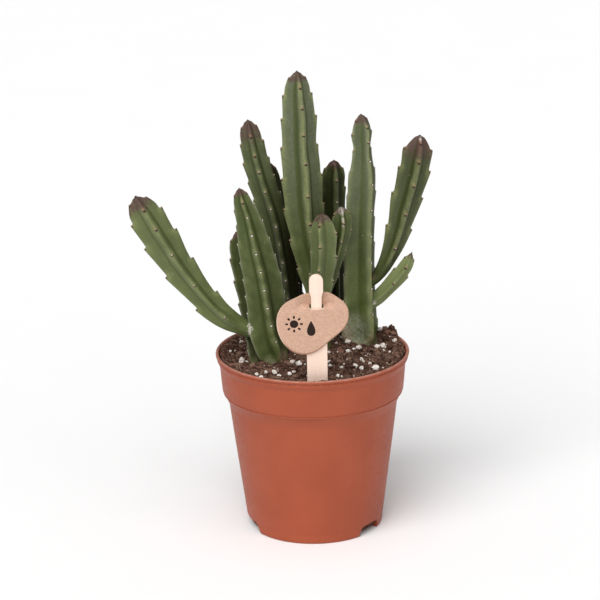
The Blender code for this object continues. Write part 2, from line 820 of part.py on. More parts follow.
def make_card(parts):
    """The label's card: a plate with a slot, through which the stick passes from front to back."""
    bm = bmesh.new()
    rims = []
    for outline in (slot_point, pebble):
        verts = bmesh.ops.create_circle(bm, segments=CARD_SIDES, radius=1.0)["verts"]
        for vert in verts:
            flat = outline(math.atan2(vert.co.y, vert.co.x))
            vert.co = (flat.x, flat.y, 0.0)
        rims += [e for e in bm.edges if e.verts[0] in verts and e.verts[1] in verts]
    spokes = bmesh.ops.bridge_loops(bm, edges=rims)["edges"]
    bmesh.ops.subdivide_edges(bm, edges=spokes, cuts=CARD_RINGS - 1)
    front = STICK_THICK / 2 + CLEAR + CARD_THICK / 2
    for vert in bm.verts:
        vert.co.z = front - card_bend(vert.co.x, vert.co.y)
    bmesh.ops.translate(bm, vec=(0.0, SLOT_Z - LABEL_PIVOT_Z, 0.0), verts=bm.verts)
    card = new_object("label_card", mesh_from(bm, "label_card"), parts, "card")
    card.matrix_world = label_frame()
    wall = card.modifiers.new("thickness", "SOLIDIFY")
    wall.thickness = CARD_THICK
    wall.offset = 0.0


def main():
    clear_scene()
    parts = new_collection("potted_carrion_flower")
    pot_cutters = new_collection("pot_cutters")
    soil_cutters = new_collection("soil_cutters")
    make_pot(parts, pot_cutters)
    soil = make_soil(parts)
    for name, growths in PLANTS.items():
        make_plant(name, growths, parts)
        make_hole(name + "_hole", growths[0], soil_cutters)
    make_stick(parts)
    make_card(parts)
    make_stick_slot(soil_cutters)
    holes = soil.modifiers.new("holes", "BOOLEAN")
    holes.operand_type = "COLLECTION"
    holes.collection = soil_cutters


main()
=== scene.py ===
"""Looks of the potted carrion flower: ribbed stems, peaty soil, a nursery pot and its plant label.

Metres, +Z up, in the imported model's frame. Tables of places on the object are in millimetres.
"""

import json
import math
import random
from collections import namedtuple

import bmesh
import bpy
from mathutils import Matrix, Vector, noise

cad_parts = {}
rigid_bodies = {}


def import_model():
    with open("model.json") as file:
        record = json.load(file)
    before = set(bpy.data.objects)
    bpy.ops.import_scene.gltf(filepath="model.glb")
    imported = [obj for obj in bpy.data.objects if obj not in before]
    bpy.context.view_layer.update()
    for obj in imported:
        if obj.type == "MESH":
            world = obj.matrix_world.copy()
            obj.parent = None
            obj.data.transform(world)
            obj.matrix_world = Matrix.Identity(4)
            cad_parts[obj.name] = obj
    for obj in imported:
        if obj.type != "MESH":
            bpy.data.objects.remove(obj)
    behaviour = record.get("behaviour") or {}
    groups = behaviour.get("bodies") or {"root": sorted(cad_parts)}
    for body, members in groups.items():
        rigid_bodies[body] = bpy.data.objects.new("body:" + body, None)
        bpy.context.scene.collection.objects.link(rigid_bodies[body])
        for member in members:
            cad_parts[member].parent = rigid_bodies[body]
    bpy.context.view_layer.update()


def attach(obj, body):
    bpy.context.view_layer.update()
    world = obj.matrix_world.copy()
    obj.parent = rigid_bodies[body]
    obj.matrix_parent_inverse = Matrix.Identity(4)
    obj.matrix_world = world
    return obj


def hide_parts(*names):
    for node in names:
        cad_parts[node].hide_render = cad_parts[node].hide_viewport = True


bl_info = {
    "name": "Potted Carrion Flower",
    "version": (1, 0, 0),
    "blender": (4, 5, 0),
    "location": "3D View > Sidebar > Potted Plant",
    "description": "Builds a four-ribbed succulent in a nursery pot with a plant label",
    "category": "Object",
}

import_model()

MM = 0.001
MERGE = 0.01 * MM
ROOT = "root"

# Pot
POT_HEIGHT = 84.5 * MM
LIP_R = 45.0 * MM
LIP_WALL = 1.9 * MM
LIP_BEND_DROP = 2.4 * MM
RIM_WALL = 1.5 * MM
RIM_DROP = 0.5 * MM
BAND_TOP_R = 43.1 * MM
BAND_TOP_Z = 78.0 * MM
BAND_LOW_R = 42.0 * MM
BAND_LOW_Z = 65.8 * MM
BODY_TOP_R = 39.3 * MM
BODY_TOP_Z = 60.6 * MM
FOOT_R = 31.6 * MM
POT_WALL = 1.1 * MM
POT_FLOOR = 1.6 * MM
FLOOR_CORNER = 1.0 * MM
NOTCH_HEIGHT = 5.0 * MM
NOTCH_FLARE = 1.4
NOTCH_DEPTH = 9.0 * MM
NOTCH_CORNER = 2.4 * MM

# The plain wall's outside and the flared lip's inside, upwards as (height, radius)
WALL_OUTSIDE = (
    (0.0, FOOT_R), (BODY_TOP_Z, BODY_TOP_R), (BAND_LOW_Z, BAND_LOW_R), (BAND_TOP_Z, BAND_TOP_R)
)
LIP_INSIDE = (
    (BAND_TOP_Z, BAND_TOP_R - POT_WALL),
    (POT_HEIGHT - LIP_BEND_DROP, LIP_R - LIP_WALL),
    (POT_HEIGHT - RIM_DROP, LIP_R - RIM_WALL),
)

# Drain notches, as (angle from -Y towards +X in degrees, width in millimetres)
NOTCHES = ((53.0, 12.4), (171.0, 14.0), (285.0, 18.6))

# Outside of the pot from the rim down to the underside, as (radius, height) in millimetres
POT_OUTSIDE = (
    (43.9, 84.42), (44.3, 84.5), (44.7, 84.38), (44.94, 84.1), (45, 83.75), (44.96, 83.4),
    (44.8, 83.12), (44.55, 82.92), (44.3, 82.74), (44.42, 82.5), (44.5, 82.2), (44.45, 81.5),
    (44.1, 80.7), (43.7, 80.1), (43.4, 79.6), (43.24, 79), (43.15, 78), (42.95, 75), (42.6, 70.5),
    (42.25, 66.9), (42.18, 66.5), (41.98, 66.32), (41.76, 66.18), (41.94, 66.02), (42, 65.8),
    (41.86, 65.5), (41.6, 65.3), (40.6, 63.6), (39.75, 61.5), (39.5, 60.9), (39.32, 60.4),
    (39.2, 59.8), (37.4, 45), (35.4, 29.5), (33.4, 14), (32.3, 5.4), (32.2, 4.9), (32.05, 4.6),
    (32.02, 4.2), (31.9, 2.4), (31.72, 1), (31.5, 0.35), (31.1, 0.05), (30.6, 0), (28, 0),
    (27.6, 0.5), (26, 0.55), (12, 0.55), (0, 0.55),
)

# Heights over which the dirt under the lip begins and ends, and over which the painted highlight on
# top of the rim comes in
LIP_DIRT_BELOW = (81.3 * MM, 82.6 * MM)
LIP_DIRT_ABOVE = (83.4 * MM, 82.9 * MM)
RIM_HIGHLIGHT = (83.8 * MM, 84.3 * MM)

# Soil
SOIL_RIM_Z = 82.1 * MM
SOIL_CROWN = 1.1 * MM
SOIL_TILT = 0.014
SOIL_TOP_R = 42.9 * MM
SOIL_BANK = 1.6 * MM
SOIL_BANK_R = 36.0 * MM
SOIL_RELIEF = 1.3 * MM
SOIL_GRAIN = 7.0 * MM
SOIL_FINER = 2.3
SOIL_FINE_SHARE = 0.5
SOIL_GAP = 0.4 * MM
CRUMB_GRAIN = 2.6 * MM
CRUMB_RELIEF = 1.9 * MM
CRUMB_LEVEL = 0.3
DUST_GRAIN = 0.9 * MM
DUST_RELIEF = 0.7 * MM
# The bed's colour by height: it pales over these heights of its crumbs, up to this share
RAISED_CRUMB_HEIGHTS = (-0.1 * MM, 0.8 * MM)
RAISED_CRUMB_TONE = 0.9
LARGE_CRUMB = 2.6 * MM
FOOT_DEPTH = 18.0 * MM
STEM_ROOM = 0.9
STICK_ROOM = 2.0 * MM
FIBRE_REACH = 39.5 * MM
FIBRE_STEPS = 7
BARK_EDGE = 0.16

# Loose things on the soil: sizes, lengths and radii run from least to most, in millimetres, and a
# crumb is CRUMB_LEAST across and up to CRUMB_MORE wider, mostly far less. FIBRE_BENDS is in
# radians, and the other pairs are shares of a thing's own size or length. Each lump's dents are
# taken from its own place in the noise, up to NOISE_REACH away.
CRUMB_LEAST = 0.6
CRUMB_MORE = 2.6
CRUMB_POWER = 4
SPIKY_SIZES = (1.0, 2.8)
SMALL_PERLITE_SIZES = (0.5, 1.3)
FIBRE_LENGTHS = (2.5, 8.0)
FIBRE_RADII = (0.12, 0.24)
FIBRE_BENDS = (-1.6, 1.6)
FIBRE_RISES = (0.0, 0.25)
BARK_SIZES = (1.8, 4.2)
BARK_WIDTHS = (0.35, 0.7)
BARK_HEIGHTS = (0.16, 0.3)
LUMP_STRETCH = ((0.8, 1.25), (0.7, 1.0), (0.55, 0.85))
NOISE_REACH = 50.0

# Heaps and hollows in the soil, as (x, y, height, spread) in millimetres; the first is spiky
SOIL_HEAPS = (
    (38.2, 17.5, 5, 4.2), (33, 26, 1.2, 5), (32.5, 14, -2.4, 3), (-39, 4, 1.2, 12),
    (-28, 30, 1.2, 14), (20, 3.5, 1.4, 7.5), (-29.5, -6.5, -1.3, 6),
)
SPIKY_X, SPIKY_Y = SOIL_HEAPS[0][:2]
SPIKY_SPREAD = (2.2, 3.0)
SPIKY_CRUMBS = 90
SPIKY_REACH = 41.0 * MM

# Larger white perlite grains on the soil, as (x, y, width) in millimetres
PERLITE = (
    (-33.3, 16.3, 1.7), (-38.1, -0.1, 1.5), (-32.7, -10.5, 2.8), (-30.5, -9.5, 1.5),
    (-25.6, -28.3, 1.5), (-23.6, -32.7, 1.9), (-21.3, -26.8, 1.6), (-17.3, -28.4, 2.7),
    (-15.6, -30.6, 1.5), (-10.6, -30.9, 1.7), (-8.9, -23.8, 1.4), (-9.2, -13.5, 2),
    (-6.3, -17.6, 2.8), (10.2, 21.5, 1.6), (7.5, 13, 1.6), (11.4, 11.7, 1.2), (14, 16.7, 1.2),
    (16.4, 15.4, 3.2), (16.8, 5.9, 2.3), (19.4, -0.5, 1.5), (21.5, -2.5, 2.3), (16.6, -5, 1.9),
    (7.7, -1.7, 1.6), (7.5, -14.6, 2), (7.9, -19.7, 2), (13, -23.6, 1.5), (19.3, -22.7, 2.4),
    (22, -25.8, 2), (22.4, -12.1, 1.8), (23.3, -15.6, 1.5), (26.1, -18.8, 1.4), (28.6, -25, 3.2),
    (29.1, 9.9, 1.4), (30.4, 3.9, 2.2), (33, 7.1, 1.9), (33.1, 2.8, 2), (38.8, 11, 2),
    (32.4, 23.9, 2), (34.4, -19.8, 0.8), (11.1, -36.4, 1.5), (12.8, -35.3, 1.1),
    (27.5, -0.6, 1.1), (34.7, 7.8, 0.9),
)

# Ribbed stems
RIBS = 4
VALLEY = 0.44
FLANK_POWER = 0.9
CREST_ROUND = 0.36
SHELF = 1.0 * MM
TIP_LENGTH = 9.0 * MM
TIP_DOME = 0.32
TIP_DOME_LENGTH = 1.1 * MM
TIP_DOME_LEAST = 0.03
TIP_POWER = 0.8
RIB_FADE = 5.0 * MM
BRANCH_FADE = 26.0 * MM
BRANCH_FADE_SHARE = 0.3
BARE_FOOT = 8.0 * MM
BARE_JOINT = 18.0 * MM
BARE_JOINT_SHARE = 0.45
ROOT_SHARE = 0.84
TWIST_LENGTH = 30.0 * MM
TOOTH_POWER = 1.6
YOUNG_TOOTH = 0.9
YOUNG_LENGTH = 12.0 * MM
TOOTH_HALF = 1.1 * MM
TOOTH_SPREAD = 1.0 * MM
WOBBLE = 0.022
WOBBLE_LENGTH = 11.0 * MM
CREST_CROWDING = 0.11
# Middle of the plant: the painted shade of gloom lies deepest on the side of each stem that faces
# it
SHADE_MIDDLE = Vector((3.0, 25.0)) * MM

# Leaf stubs: the half sizes, raise and sinking are shares of a stub's size. STUB_LARGER and
# STUB_PALER say how far one stub may differ from the next, and STUB_FOOT where its dark foot begins
# and where it is whole, from -1 at its lower end to 1. The dark foot is partly dried scar and
# partly painted shade on the stub's underside.
STUB_HALF = (0.46, 0.34, 0.24)
STUB_LARGER = (0.9, 1.15)
STUB_PALER = (0.8, 1.3)
STUB_FOOT = (0.3, -0.5)
STUB_CHALKY = 0.2
STUB_RAISE = 0.25
STUB_SUNK = 0.22
STUB_TILT = 0.6
STUB_YOUNG = 0.6
STUB_GROWN = 25.0 * MM

# Marks on the skin. The fades run from where a mark is not seen to where it is whole: WHITENING in
# lengths of the purple tip, FOOT_CORK_FADE above the soil, and GLOOM_FADE and BLOOM_FADE below the
# tip; GLOOM_FADE brings in painted shade. TOOTH_SCAR and GLOW say how tall and how wide the dark
# scar at a tooth and the orange spot above it are. The dark scar is partly a dried leaf scar and
# partly painted shadow under the tooth.
WHITENING = (0.5, 3.5)
FOOT_CORK = 0.3
FOOT_CORK_FADE = (4.0 * MM, 0.5 * MM)
GLOOM_FADE = (15.0 * MM, 75.0 * MM)
# How much deeper the painted shade of gloom lies on the side that faces the middle of the plant
GLOOM_INWARD = 0.9
BLOOM_FADE = (95.0 * MM, 25.0 * MM)
# Painted highlight: the crest strips of the side ribs are laid this much fainter than on the front
# and back ribs
SIDE_CREST_HIGHLIGHT = 0.72
# Painted shade in the valleys of the side ribs: how strong it is, and over which part of the valley
# it comes in
SIDE_VALLEY = 0.7
SIDE_VALLEY_FADE = (0.85, 1.0)
STRIP_REACH = 2.6 * MM
MARGIN_LENGTH = 10.0 * MM
MARGIN_OUT = 0.3 * MM
MARGIN_WIDTH = 0.45 * MM
LINE_OUT = 0.55
LINE_WIDTH = 0.35 * MM
TOOTH_SCAR_BELOW = 0.45
TOOTH_SCAR = (0.5 * MM, 0.9 * MM)
GLOW_ABOVE = 0.5 * MM
GLOW = (0.45 * MM, 0.7 * MM)

# A growth is one stem or branch. Its points run from the root to the tip as (x, y, z, radius), in
# millimetres, with the radius at the tips of the teeth. turn is the front rib's angle from -Y
# towards +X in degrees, and tooth is how far a tooth stands out. The uppermost tooth is tip_step
# below the tip, and each step down to the next level is longer by more, up to step. first_pair is
# 0 where the front and back ribs bear the uppermost teeth, and 1 where the side ribs do. twist is
# how many degrees further the ribs have turned at the root. blush is the length in millimetres of
# the purple tip, and bloom, margin and chalk say how grey, pale-edged and white-toothed the skin
# is. shade is painted shade laid into the skin's colour, and below zero a lighter, fresher skin
# instead. gloom is more painted shade towards the foot, deepest on the side that faces the other
# stems, and below zero a lighter foot. strip is half the angle of the paler strip on each crest, in
# radians, and line how strong the scar on the front strip's left is. The strips are partly the
# skin's paler crests and partly painted highlight, and clear says how plainly they show; deep
# says how dark the painted shade in the valleys is.
Growth = namedtuple(
    "Growth",
    "points turn tooth tip_step more step blush bloom shade margin chalk"
    " first_pair twist gloom strip line clear deep",
    defaults=(1, 0, 0.0, 0.31, 0.0, 1.0, 1.0),
)

CENTER = Growth(
    points=(
        (3.3, 8, 83, 7), (3.3, 8, 91.4, 7), (3.1, 8, 109, 6.6), (1, 9, 124.3, 8.6),
        (-1.4, 9, 137.4, 8.9), (-2.8, 10, 151.5, 9.9), (-3.5, 10, 167.2, 9.9),
        (-4.3, 11, 179.2, 9), (-4.3, 11, 192.3, 8.7), (-4.8, 11, 203, 7.2),
        (-4.8, 11, 214.2, 5.4),
    ),
    turn=15, tooth=1, tip_step=3, more=0.68, step=7.1, blush=7, bloom=1, shade=0, margin=0,
    chalk=0.15, gloom=0.2, strip=0.34, clear=1.25,
)
CENTER_FRONT = Growth(
    points=(
        (3, 6, 90, 4.2), (3, 1.5, 102, 5.3), (3.6, -1.5, 112.5, 6), (5.2, -4.5, 125, 6.3),
        (6, -6, 137, 6.6), (5.4, -6, 151.7, 6.7),
    ),
    turn=-18, tooth=0.8, tip_step=4.4, more=0.35, step=6, first_pair=0, blush=5.5, bloom=0.3,
    shade=-0.25, margin=0.5, chalk=0.3, strip=0.4, clear=0.8, deep=0.6,
)
CENTER_RIGHT = Growth(
    points=(
        (3.6, 7, 92, 3.2), (5.4, 4.4, 107.5, 3.6), (8.7, 2.5, 119.8, 4.2),
        (12.1, 1.5, 132.1, 4.6), (14.4, 1, 143.5, 5.2), (14.2, 1, 152.9, 5.3),
    ),
    turn=10, tooth=0.7, tip_step=3.2, more=0.5, step=6, blush=4, bloom=0.2, shade=0.2, margin=0.3,
    chalk=0.5,
)
LEFT_TALL = Growth(
    points=(
        (-10.3, 20, 82.3, 6.6), (-10.3, 20, 90, 6.6), (-11.8, 19, 109.8, 6.5),
        (-13.8, 18, 125.3, 7), (-16.3, 17, 141.2, 6.9), (-19.7, 16, 154, 6.8),
        (-22.3, 15, 163.4, 6.6), (-24.4, 15, 172, 6.4), (-26.2, 14, 181.3, 5.6),
        (-27.8, 14, 191.3, 4.9),
    ),
    turn=4, tooth=0.8, tip_step=3.4, more=0.35, step=4.5, blush=14, bloom=0.5, shade=0.1,
    margin=0, chalk=0.7, gloom=0.85, strip=0.5, clear=0.75,
)
FRONT_LEFT = Growth(
    points=(
        (-17.4, -6.5, 81.6, 7.9), (-17.9, -6.5, 85, 8.5), (-19.3, -6.2, 91, 9),
        (-20.4, -6, 98, 9.2), (-21, -6, 110.7, 9.3), (-22.7, -6, 123.1, 8.9),
        (-25.2, -6, 135, 8.1), (-28.1, -6, 149.3, 6.1), (-30.4, -6, 157.3, 4.8),
        (-32, -6, 164.4, 4.1),
    ),
    turn=3, tooth=0.6, tip_step=3, more=0.25, step=4.3, twist=28, blush=5, bloom=0.15, shade=0.1,
    margin=0.8, chalk=1, gloom=0.3, strip=0.5, clear=0.75,
)
FRONT_LEFT_ARM = Growth(
    points=(
        (-24, -5.5, 95.2, 4.2), (-30.4, -6, 97.7, 4.6), (-38.6, -6.6, 102.3, 6.1),
        (-46.9, -7, 109.9, 6.7), (-59.6, -7, 126.8, 8), (-68, -7, 140.9, 8.9),
        (-74, -7, 151.6, 8.4), (-77.6, -7, 158.5, 7), (-78.9, -7, 161.8, 5.9),
    ),
    turn=14, tooth=1.3, tip_step=2.7, more=0.97, step=10.6, blush=10, bloom=0.3, shade=-0.25,
    margin=0, chalk=0.5, strip=0.52, line=0.7, deep=0.6,
)
LEFT_LOW = Growth(
    points=(
        (-26.4, -9, 81, 3.3), (-26.9, -6, 85, 3.5), (-27.9, 0, 91.5, 4), (-28.8, 4.5, 98.5, 4.5),
        (-29.8, 7.5, 106.5, 5), (-32.8, 9, 125.9, 5.2), (-34.3, 9, 139.5, 4.3),
    ),
    turn=25, tooth=0.9, tip_step=3.6, more=0.5, step=5.6, blush=4, bloom=0, shade=0.45,
    margin=0.7, chalk=0.3, gloom=1.1,
)
BACK_LEFT = Growth(
    points=(
        (-7, 33, 81.8, 4.4), (-7.2, 33, 88, 4.6), (-9.8, 32, 118.6, 5.4), (-14.5, 31, 138.7, 5.4),
        (-17.4, 30, 156, 5.2), (-18.6, 30, 167.1, 3.8),
    ),
    turn=20, tooth=0.6, tip_step=3.2, more=0.35, step=4.8, blush=5, bloom=0, shade=1, margin=0.1,
    chalk=0.12, gloom=0.2,
)
BACK_RIGHT = Growth(
    points=(
        (11.7, 27, 82.4, 4.8), (11.7, 27, 92, 4.8), (11.4, 27, 118, 5.8), (11.3, 27, 134.4, 6.3),
        (11.1, 27, 153.8, 6.4), (11.7, 27, 168.3, 5.7),
    ),
    turn=16, tooth=0.8, tip_step=4.2, more=0.4, step=6.2, blush=5, bloom=0, shade=0.82,
    margin=0.1, chalk=0.6, gloom=0.5, strip=0.45, clear=1.5,
)
RIGHT = Growth(
    points=(
        (22.5, 14, 83, 10.2), (22.6, 14, 88.5, 10.8), (22.7, 14, 95, 10.3),
        (22.6, 14, 103.8, 9.8), (22.6, 14, 120.9, 9.4), (23.2, 14, 142.7, 8.7),
        (24.2, 14, 161.8, 8.3), (24.4, 14, 175.5, 5.6), (24.3, 14, 184, 6), (24.1, 14, 193, 4.8),
    ),
    turn=36, tooth=0.7, tip_step=2.6, more=0.4, step=6.3, blush=6.5, bloom=0.8, shade=0.05,
    margin=0.4, chalk=0.8, gloom=-0.1, line=0.5, deep=0.6,
)
RIGHT_ARM = Growth(
    points=(
        (26, 14, 111.5, 3), (30.8, 13, 115.6, 3.4), (34, 12.2, 120.6, 4.4), (37.4, 12, 128, 5.4),
        (40.2, 12, 136, 6.2), (44.5, 12, 152.6, 7.7), (48, 12, 165.6, 7.9),
        (49.9, 12, 175.9, 7.3), (51, 12, 183.1, 6.4),
    ),
    turn=8, tooth=1.1, tip_step=3, more=0.75, step=9.5, first_pair=0, blush=15, bloom=0.6,
    shade=0.55, margin=0, chalk=0.25, gloom=-0.2, strip=0.45, clear=1.5,
)
RIGHT_TWIG = Growth(
    points=(
        (26, 14, 102, 4.2), (31.5, 13, 105.7, 4.3), (39.5, 11, 114.8, 4.3),
        (44.2, 10, 121.5, 3.8), (47, 10, 127.8, 3),
    ),
    turn=0, tooth=0.8, tip_step=3.2, more=0.6, step=6, blush=4, bloom=0.2, shade=-1, margin=0.2,
    chalk=0.3,
)

# Each plant is one piece: the stem that stands in the soil first, then what grows from it.
PLANTS = {
    "stem_center": (CENTER, CENTER_FRONT, CENTER_RIGHT),
    "stem_left_tall": (LEFT_TALL,),
    "stem_front_left": (FRONT_LEFT, FRONT_LEFT_ARM),
    "stem_left_low": (LEFT_LOW,),
    "stem_back_left": (BACK_LEFT,),
    "stem_back_right": (BACK_RIGHT,),
    "stem_right": (RIGHT, RIGHT_ARM, RIGHT_TWIG),
}

# Scars on the skin, as (x, y, z, radius, strength): corky brown ones and chalky white ones
CORKY = (
    (15.5, 6, 88, 4.5, 0.65), (27.5, 6, 86.5, 3, 0.5), (14.6, 7, 94.5, 2.6, 0.35),
    (28.8, 9, 116, 1.6, 0.6), (-13, -13, 85, 3, 0.8), (-9.8, -12, 87, 3, 0.75),
)
CHALKY = (
    (-28.9, -9, 99.8, 0.55, 1), (-28.6, -9, 98.6, 0.75, 1), (-28.4, -9, 97.4, 0.85, 1),
    (-28.8, -9, 96.2, 0.55, 1), (14.4, -1.5, 151.4, 1.5, 0.4), (14.8, -3.2, 147.6, 0.8, 0.45),
    (15, -3.2, 145, 0.6, 0.4), (11.2, 23, 167.4, 1, 0.35), (51, 9, 182, 0.9, 0.45),
    (29.4, 9, 103.5, 0.8, 1), (14.5, 6, 93, 5, 0.1), (20, 3, 90, 7, 0.16),
)

# A scar reaches deeper into the stem and along it than across it. Its strength fades from its
# outer to its inner share of the radius, and a strong chalky one has the crisper edge.
SCAR_SHAPE = Vector((1.0, 0.35, 0.7))
SCAR_OUTER = 1.25
SCAR_INNER = 0.4
CHALKY_CRISPNESS = 0.5

# What each point of the skin knows about itself: shares from 0 to 1, with shade down to -1
MARKS = (
    "crest", "hollow", "blush", "bloom", "shade", "margin", "tooth", "glow", "cork", "scar", "grown"
)

# Label
STICK_THICK = 1.6 * MM
STICK_BOTTOM_Z = 52.0 * MM
STICK_TOP_Z = 134.2 * MM
STICK_HEAD_HALF = 3.1 * MM
STICK_NECK_HALF = 2.35 * MM
STICK_BODY_HALF = 4.6 * MM
STICK_NECK_DROP = 2.5 * MM
STICK_SHOULDER = 3.0 * MM
STICK_HEAD_DROP = 5.0 * MM
STICK_HEAD_FLARE = 2.5 * MM
STICK_ARC_STEPS = 12
STICK_EDGE = 0.22 * MM
STICK_X = 1.9 * MM
STICK_Y = -38.0 * MM
LABEL_PIVOT_Z = 83.0 * MM
LABEL_LEAN = math.radians(5.0)
CARD_THICK = 0.8 * MM
CARD_EDGE = 0.12 * MM
SLOT_Z = 118.8 * MM
SLOT_HALF = 3.3 * MM
SLOT_GAP = 0.7 * MM
CARD_SIDES = 120
CARD_RINGS = 14
CARD_R = 14.8 * MM
CARD_CENTER = Vector((-2.6, -7.1)) * MM
CARD_LENGTHENED = 1.8 * MM
CARD_LENGTHENED_AT = math.radians(28)
CARD_CORNERS = 1.2 * MM
CARD_CORNER_AT = math.radians(21)
CARD_FLAT_HALF = 3.9 * MM
CARD_BEND_HALF = 10.5 * MM
CARD_SHARP_HALF = 3.6 * MM
CARD_STEP = 0.05 * MM
CARD_STEP_GROWTH = 0.5
CLEAR = 0.3 * MM

# Printed marks on the card, as places (x, z) and sizes
SUN_AT = Vector((-8.2, 111.0)) * MM
SUN_DISC_R = 1.9 * MM
SUN_GAP_R = 2.6 * MM
SUN_R = 3.9 * MM
SUN_RAYS = 8.0
SUN_RAY_GAP = 0.45
DROP_AT = Vector((-0.6, 105.2)) * MM
DROP_HEIGHT = 7.4 * MM
DROP_WIDTH = 5.2 * MM
DROP_TAPER = 1.15

# Where painted shade darkens the card's border at the lower right and a painted highlight pales it
# at the left, and where its slot is paler
CARD_SHADE_SLOPE = 0.55
CARD_SHADE_FADE = (-111.0 * MM, -106.0 * MM)
CARD_HIGHLIGHT_FADE = (-11.0 * MM, -16.0 * MM)
SLOT_EDGE_HALF = 5.0 * MM
SLOT_EDGE_BELOW = (113.0 * MM, 115.0 * MM)
SLOT_EDGE_ABOVE = (122.0 * MM, 120.0 * MM)

# Camera: its target is the middle of the picture, and it looks down by the height angle
CAMERA_TARGET = Vector((-5.33, 0.0, 108.81)) * MM
CAMERA_DISTANCE = 1.1
CAMERA_HEIGHT_ANGLE = math.radians(17.586)
CAMERA_ROLL = -0.0187
CAMERA_LENS = 142.86
CAMERA_SENSOR = 36.0
CAMERA_NEAR = 0.01

# Lamps, as (name of their strength in the settings, degrees left of the camera, degrees high)
LAMPS = (("key", 25.0, 45.0), ("fill", -40.0, 25.0), ("top", 0.0, 80.0))
LAMP_SOFTNESS = math.radians(50)
FLOOR_HALF = 6.0


def smooth_step(low, high, value):
    """0 at low and 1 at high, with a smooth way between; low may be the larger."""
    share = min(1.0, max(0.0, (value - low) / (high - low)))
    return share * share * (3.0 - 2.0 * share)


def bell(value, width):
    """1 at zero, falling off smoothly on both sides."""
    return math.exp(-((value / width) ** 2))


def radius_at(levels, z):
    """The radius at this height, between (height, radius) levels that run upwards."""
    for (low, start), (high, end) in zip(levels, levels[1:]):
        if z <= high:
            return start + (end - start) * max(0.0, z - low) / (high - low)
    return levels[-1][1]


def link_object(name, data):
    """A new object in the scene."""
    made = bpy.data.objects.new(name, data)
    bpy.context.scene.collection.objects.link(made)
    return made


def mesh_from(bm, name, smooth_angle=None):
    """The bmesh as a mesh datablock, smooth except at edges sharper than this many degrees."""
    mesh = bpy.data.meshes.new(name)
    bm.to_mesh(mesh)
    bm.free()
    if smooth_angle is not None:
        smooth(mesh, smooth_angle)
    return mesh


def smooth(mesh, sharp_angle):
    """Shades the mesh smooth except at edges sharper than this many degrees."""
    mesh.shade_smooth()
    mesh.set_sharp_from_angle(angle=math.radians(sharp_angle))


def add_piece(name, mesh, material, slot, *nodes):
    """A finished piece: it rides on the part's body and stands for the CAD nodes named."""
    piece = link_object(name, mesh)
    if not mesh.materials:
        mesh.materials.append(material)
    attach(piece, ROOT)
    if nodes:
        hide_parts(*nodes)
    return piece


def add_shape(name, bm, smooth_angle, material, slot, *nodes):
    """The bmesh as a finished piece."""
    return add_piece(name, mesh_from(bm, name, smooth_angle), material, slot, *nodes)


def combine(mesh, others, operation, name):
    """The mesh joined with, or cut by, the other meshes; all of them are closed."""
    collection = bpy.data.collections.new(name + "_operands")
    bpy.context.scene.collection.children.link(collection)
    for i, other in enumerate(others):
        collection.objects.link(bpy.data.objects.new(f"{name}_operand_{i}", other))
    base = link_object(name + "_base", mesh)
    step = base.modifiers.new("combine", "BOOLEAN")
    step.operation = operation
    step.solver = "MANIFOLD"
    step.operand_type = "COLLECTION"
    step.collection = collection
    graph = bpy.context.evaluated_depsgraph_get()
    made = bpy.data.meshes.new_from_object(base.evaluated_get(graph))
    if len(made.polygons) == 0:
        raise RuntimeError(f"{name}: the Boolean left nothing")
    made.materials.clear()
    for used in [base, *collection.objects]:
        bpy.data.objects.remove(used, do_unlink=True)
    bpy.data.collections.remove(collection)
    return made


def add_tube(bm, sides, steps, far_radius=1.0):
    """A closed tube along Z in steps of one unit, of radius 1 at its lower end."""
    bmesh.ops.create_cone(
        bm, cap_ends=True, segments=sides, radius1=1.0, radius2=far_radius, depth=float(steps)
    )
    upright = [e for e in bm.edges if abs(e.verts[0].co.z - e.verts[1].co.z) > 0.5]
    bmesh.ops.subdivide_edges(bm, edges=upright, cuts=steps - 1, use_grid_fill=False)


def ease_edges(bm, edges, width, segments):
    """Rounds the edges off by this width."""
    bmesh.ops.bevel(
        bm, geom=edges, offset=width, segments=segments, profile=0.5, affect="EDGES", material=-1
    )


# Shader nodes


class Nodes:
    """Adds shader nodes to a tree. Each method gives the new node's output."""

    def __init__(self, tree):
        self.tree = tree

    def add(self, kind, inputs=None, **settings):
        """Adds a node. inputs maps a socket's name or number to a value or to an output."""
        node = self.tree.nodes.new(kind)
        for name, value in settings.items():
            setattr(node, name, value)
        for key, value in (inputs or {}).items():
            if isinstance(value, bpy.types.NodeSocket):
                self.tree.links.new(value, node.inputs[key])
            else:
                node.inputs[key].default_value = value
        return node.outputs

    def maths(self, operation, *values):
        return self.add("ShaderNodeMath", dict(enumerate(values)), operation=operation)[0]

    def times(self, first, *others):
        """The product of all the values."""
        for value in others:
            first = self.maths("MULTIPLY", first, value)
        return first

    def fade(self, value, low, high):
        """0 at low and 1 at high, with a smooth way between; low may be the larger."""
        inputs = {"Value": value, "From Min": low, "From Max": high}
        return self.add("ShaderNodeMapRange", inputs, interpolation_type="SMOOTHSTEP")["Result"]

    def span(self, value, low, high):
        """A value from 0 to 1 stretched to run from low to high."""
        inputs = {"Value": value, "To Min": low, "To Max": high}
        return self.add("ShaderNodeMapRange", inputs)["Result"]

    def noise(self, vector, per_metre, detail):
        inputs = {"Vector": vector, "Scale": per_metre, "Detail": detail}
        return self.add("ShaderNodeTexNoise", inputs)["Fac"]

    def axes(self, vector):
        return self.add("ShaderNodeSeparateXYZ", {"Vector": vector})


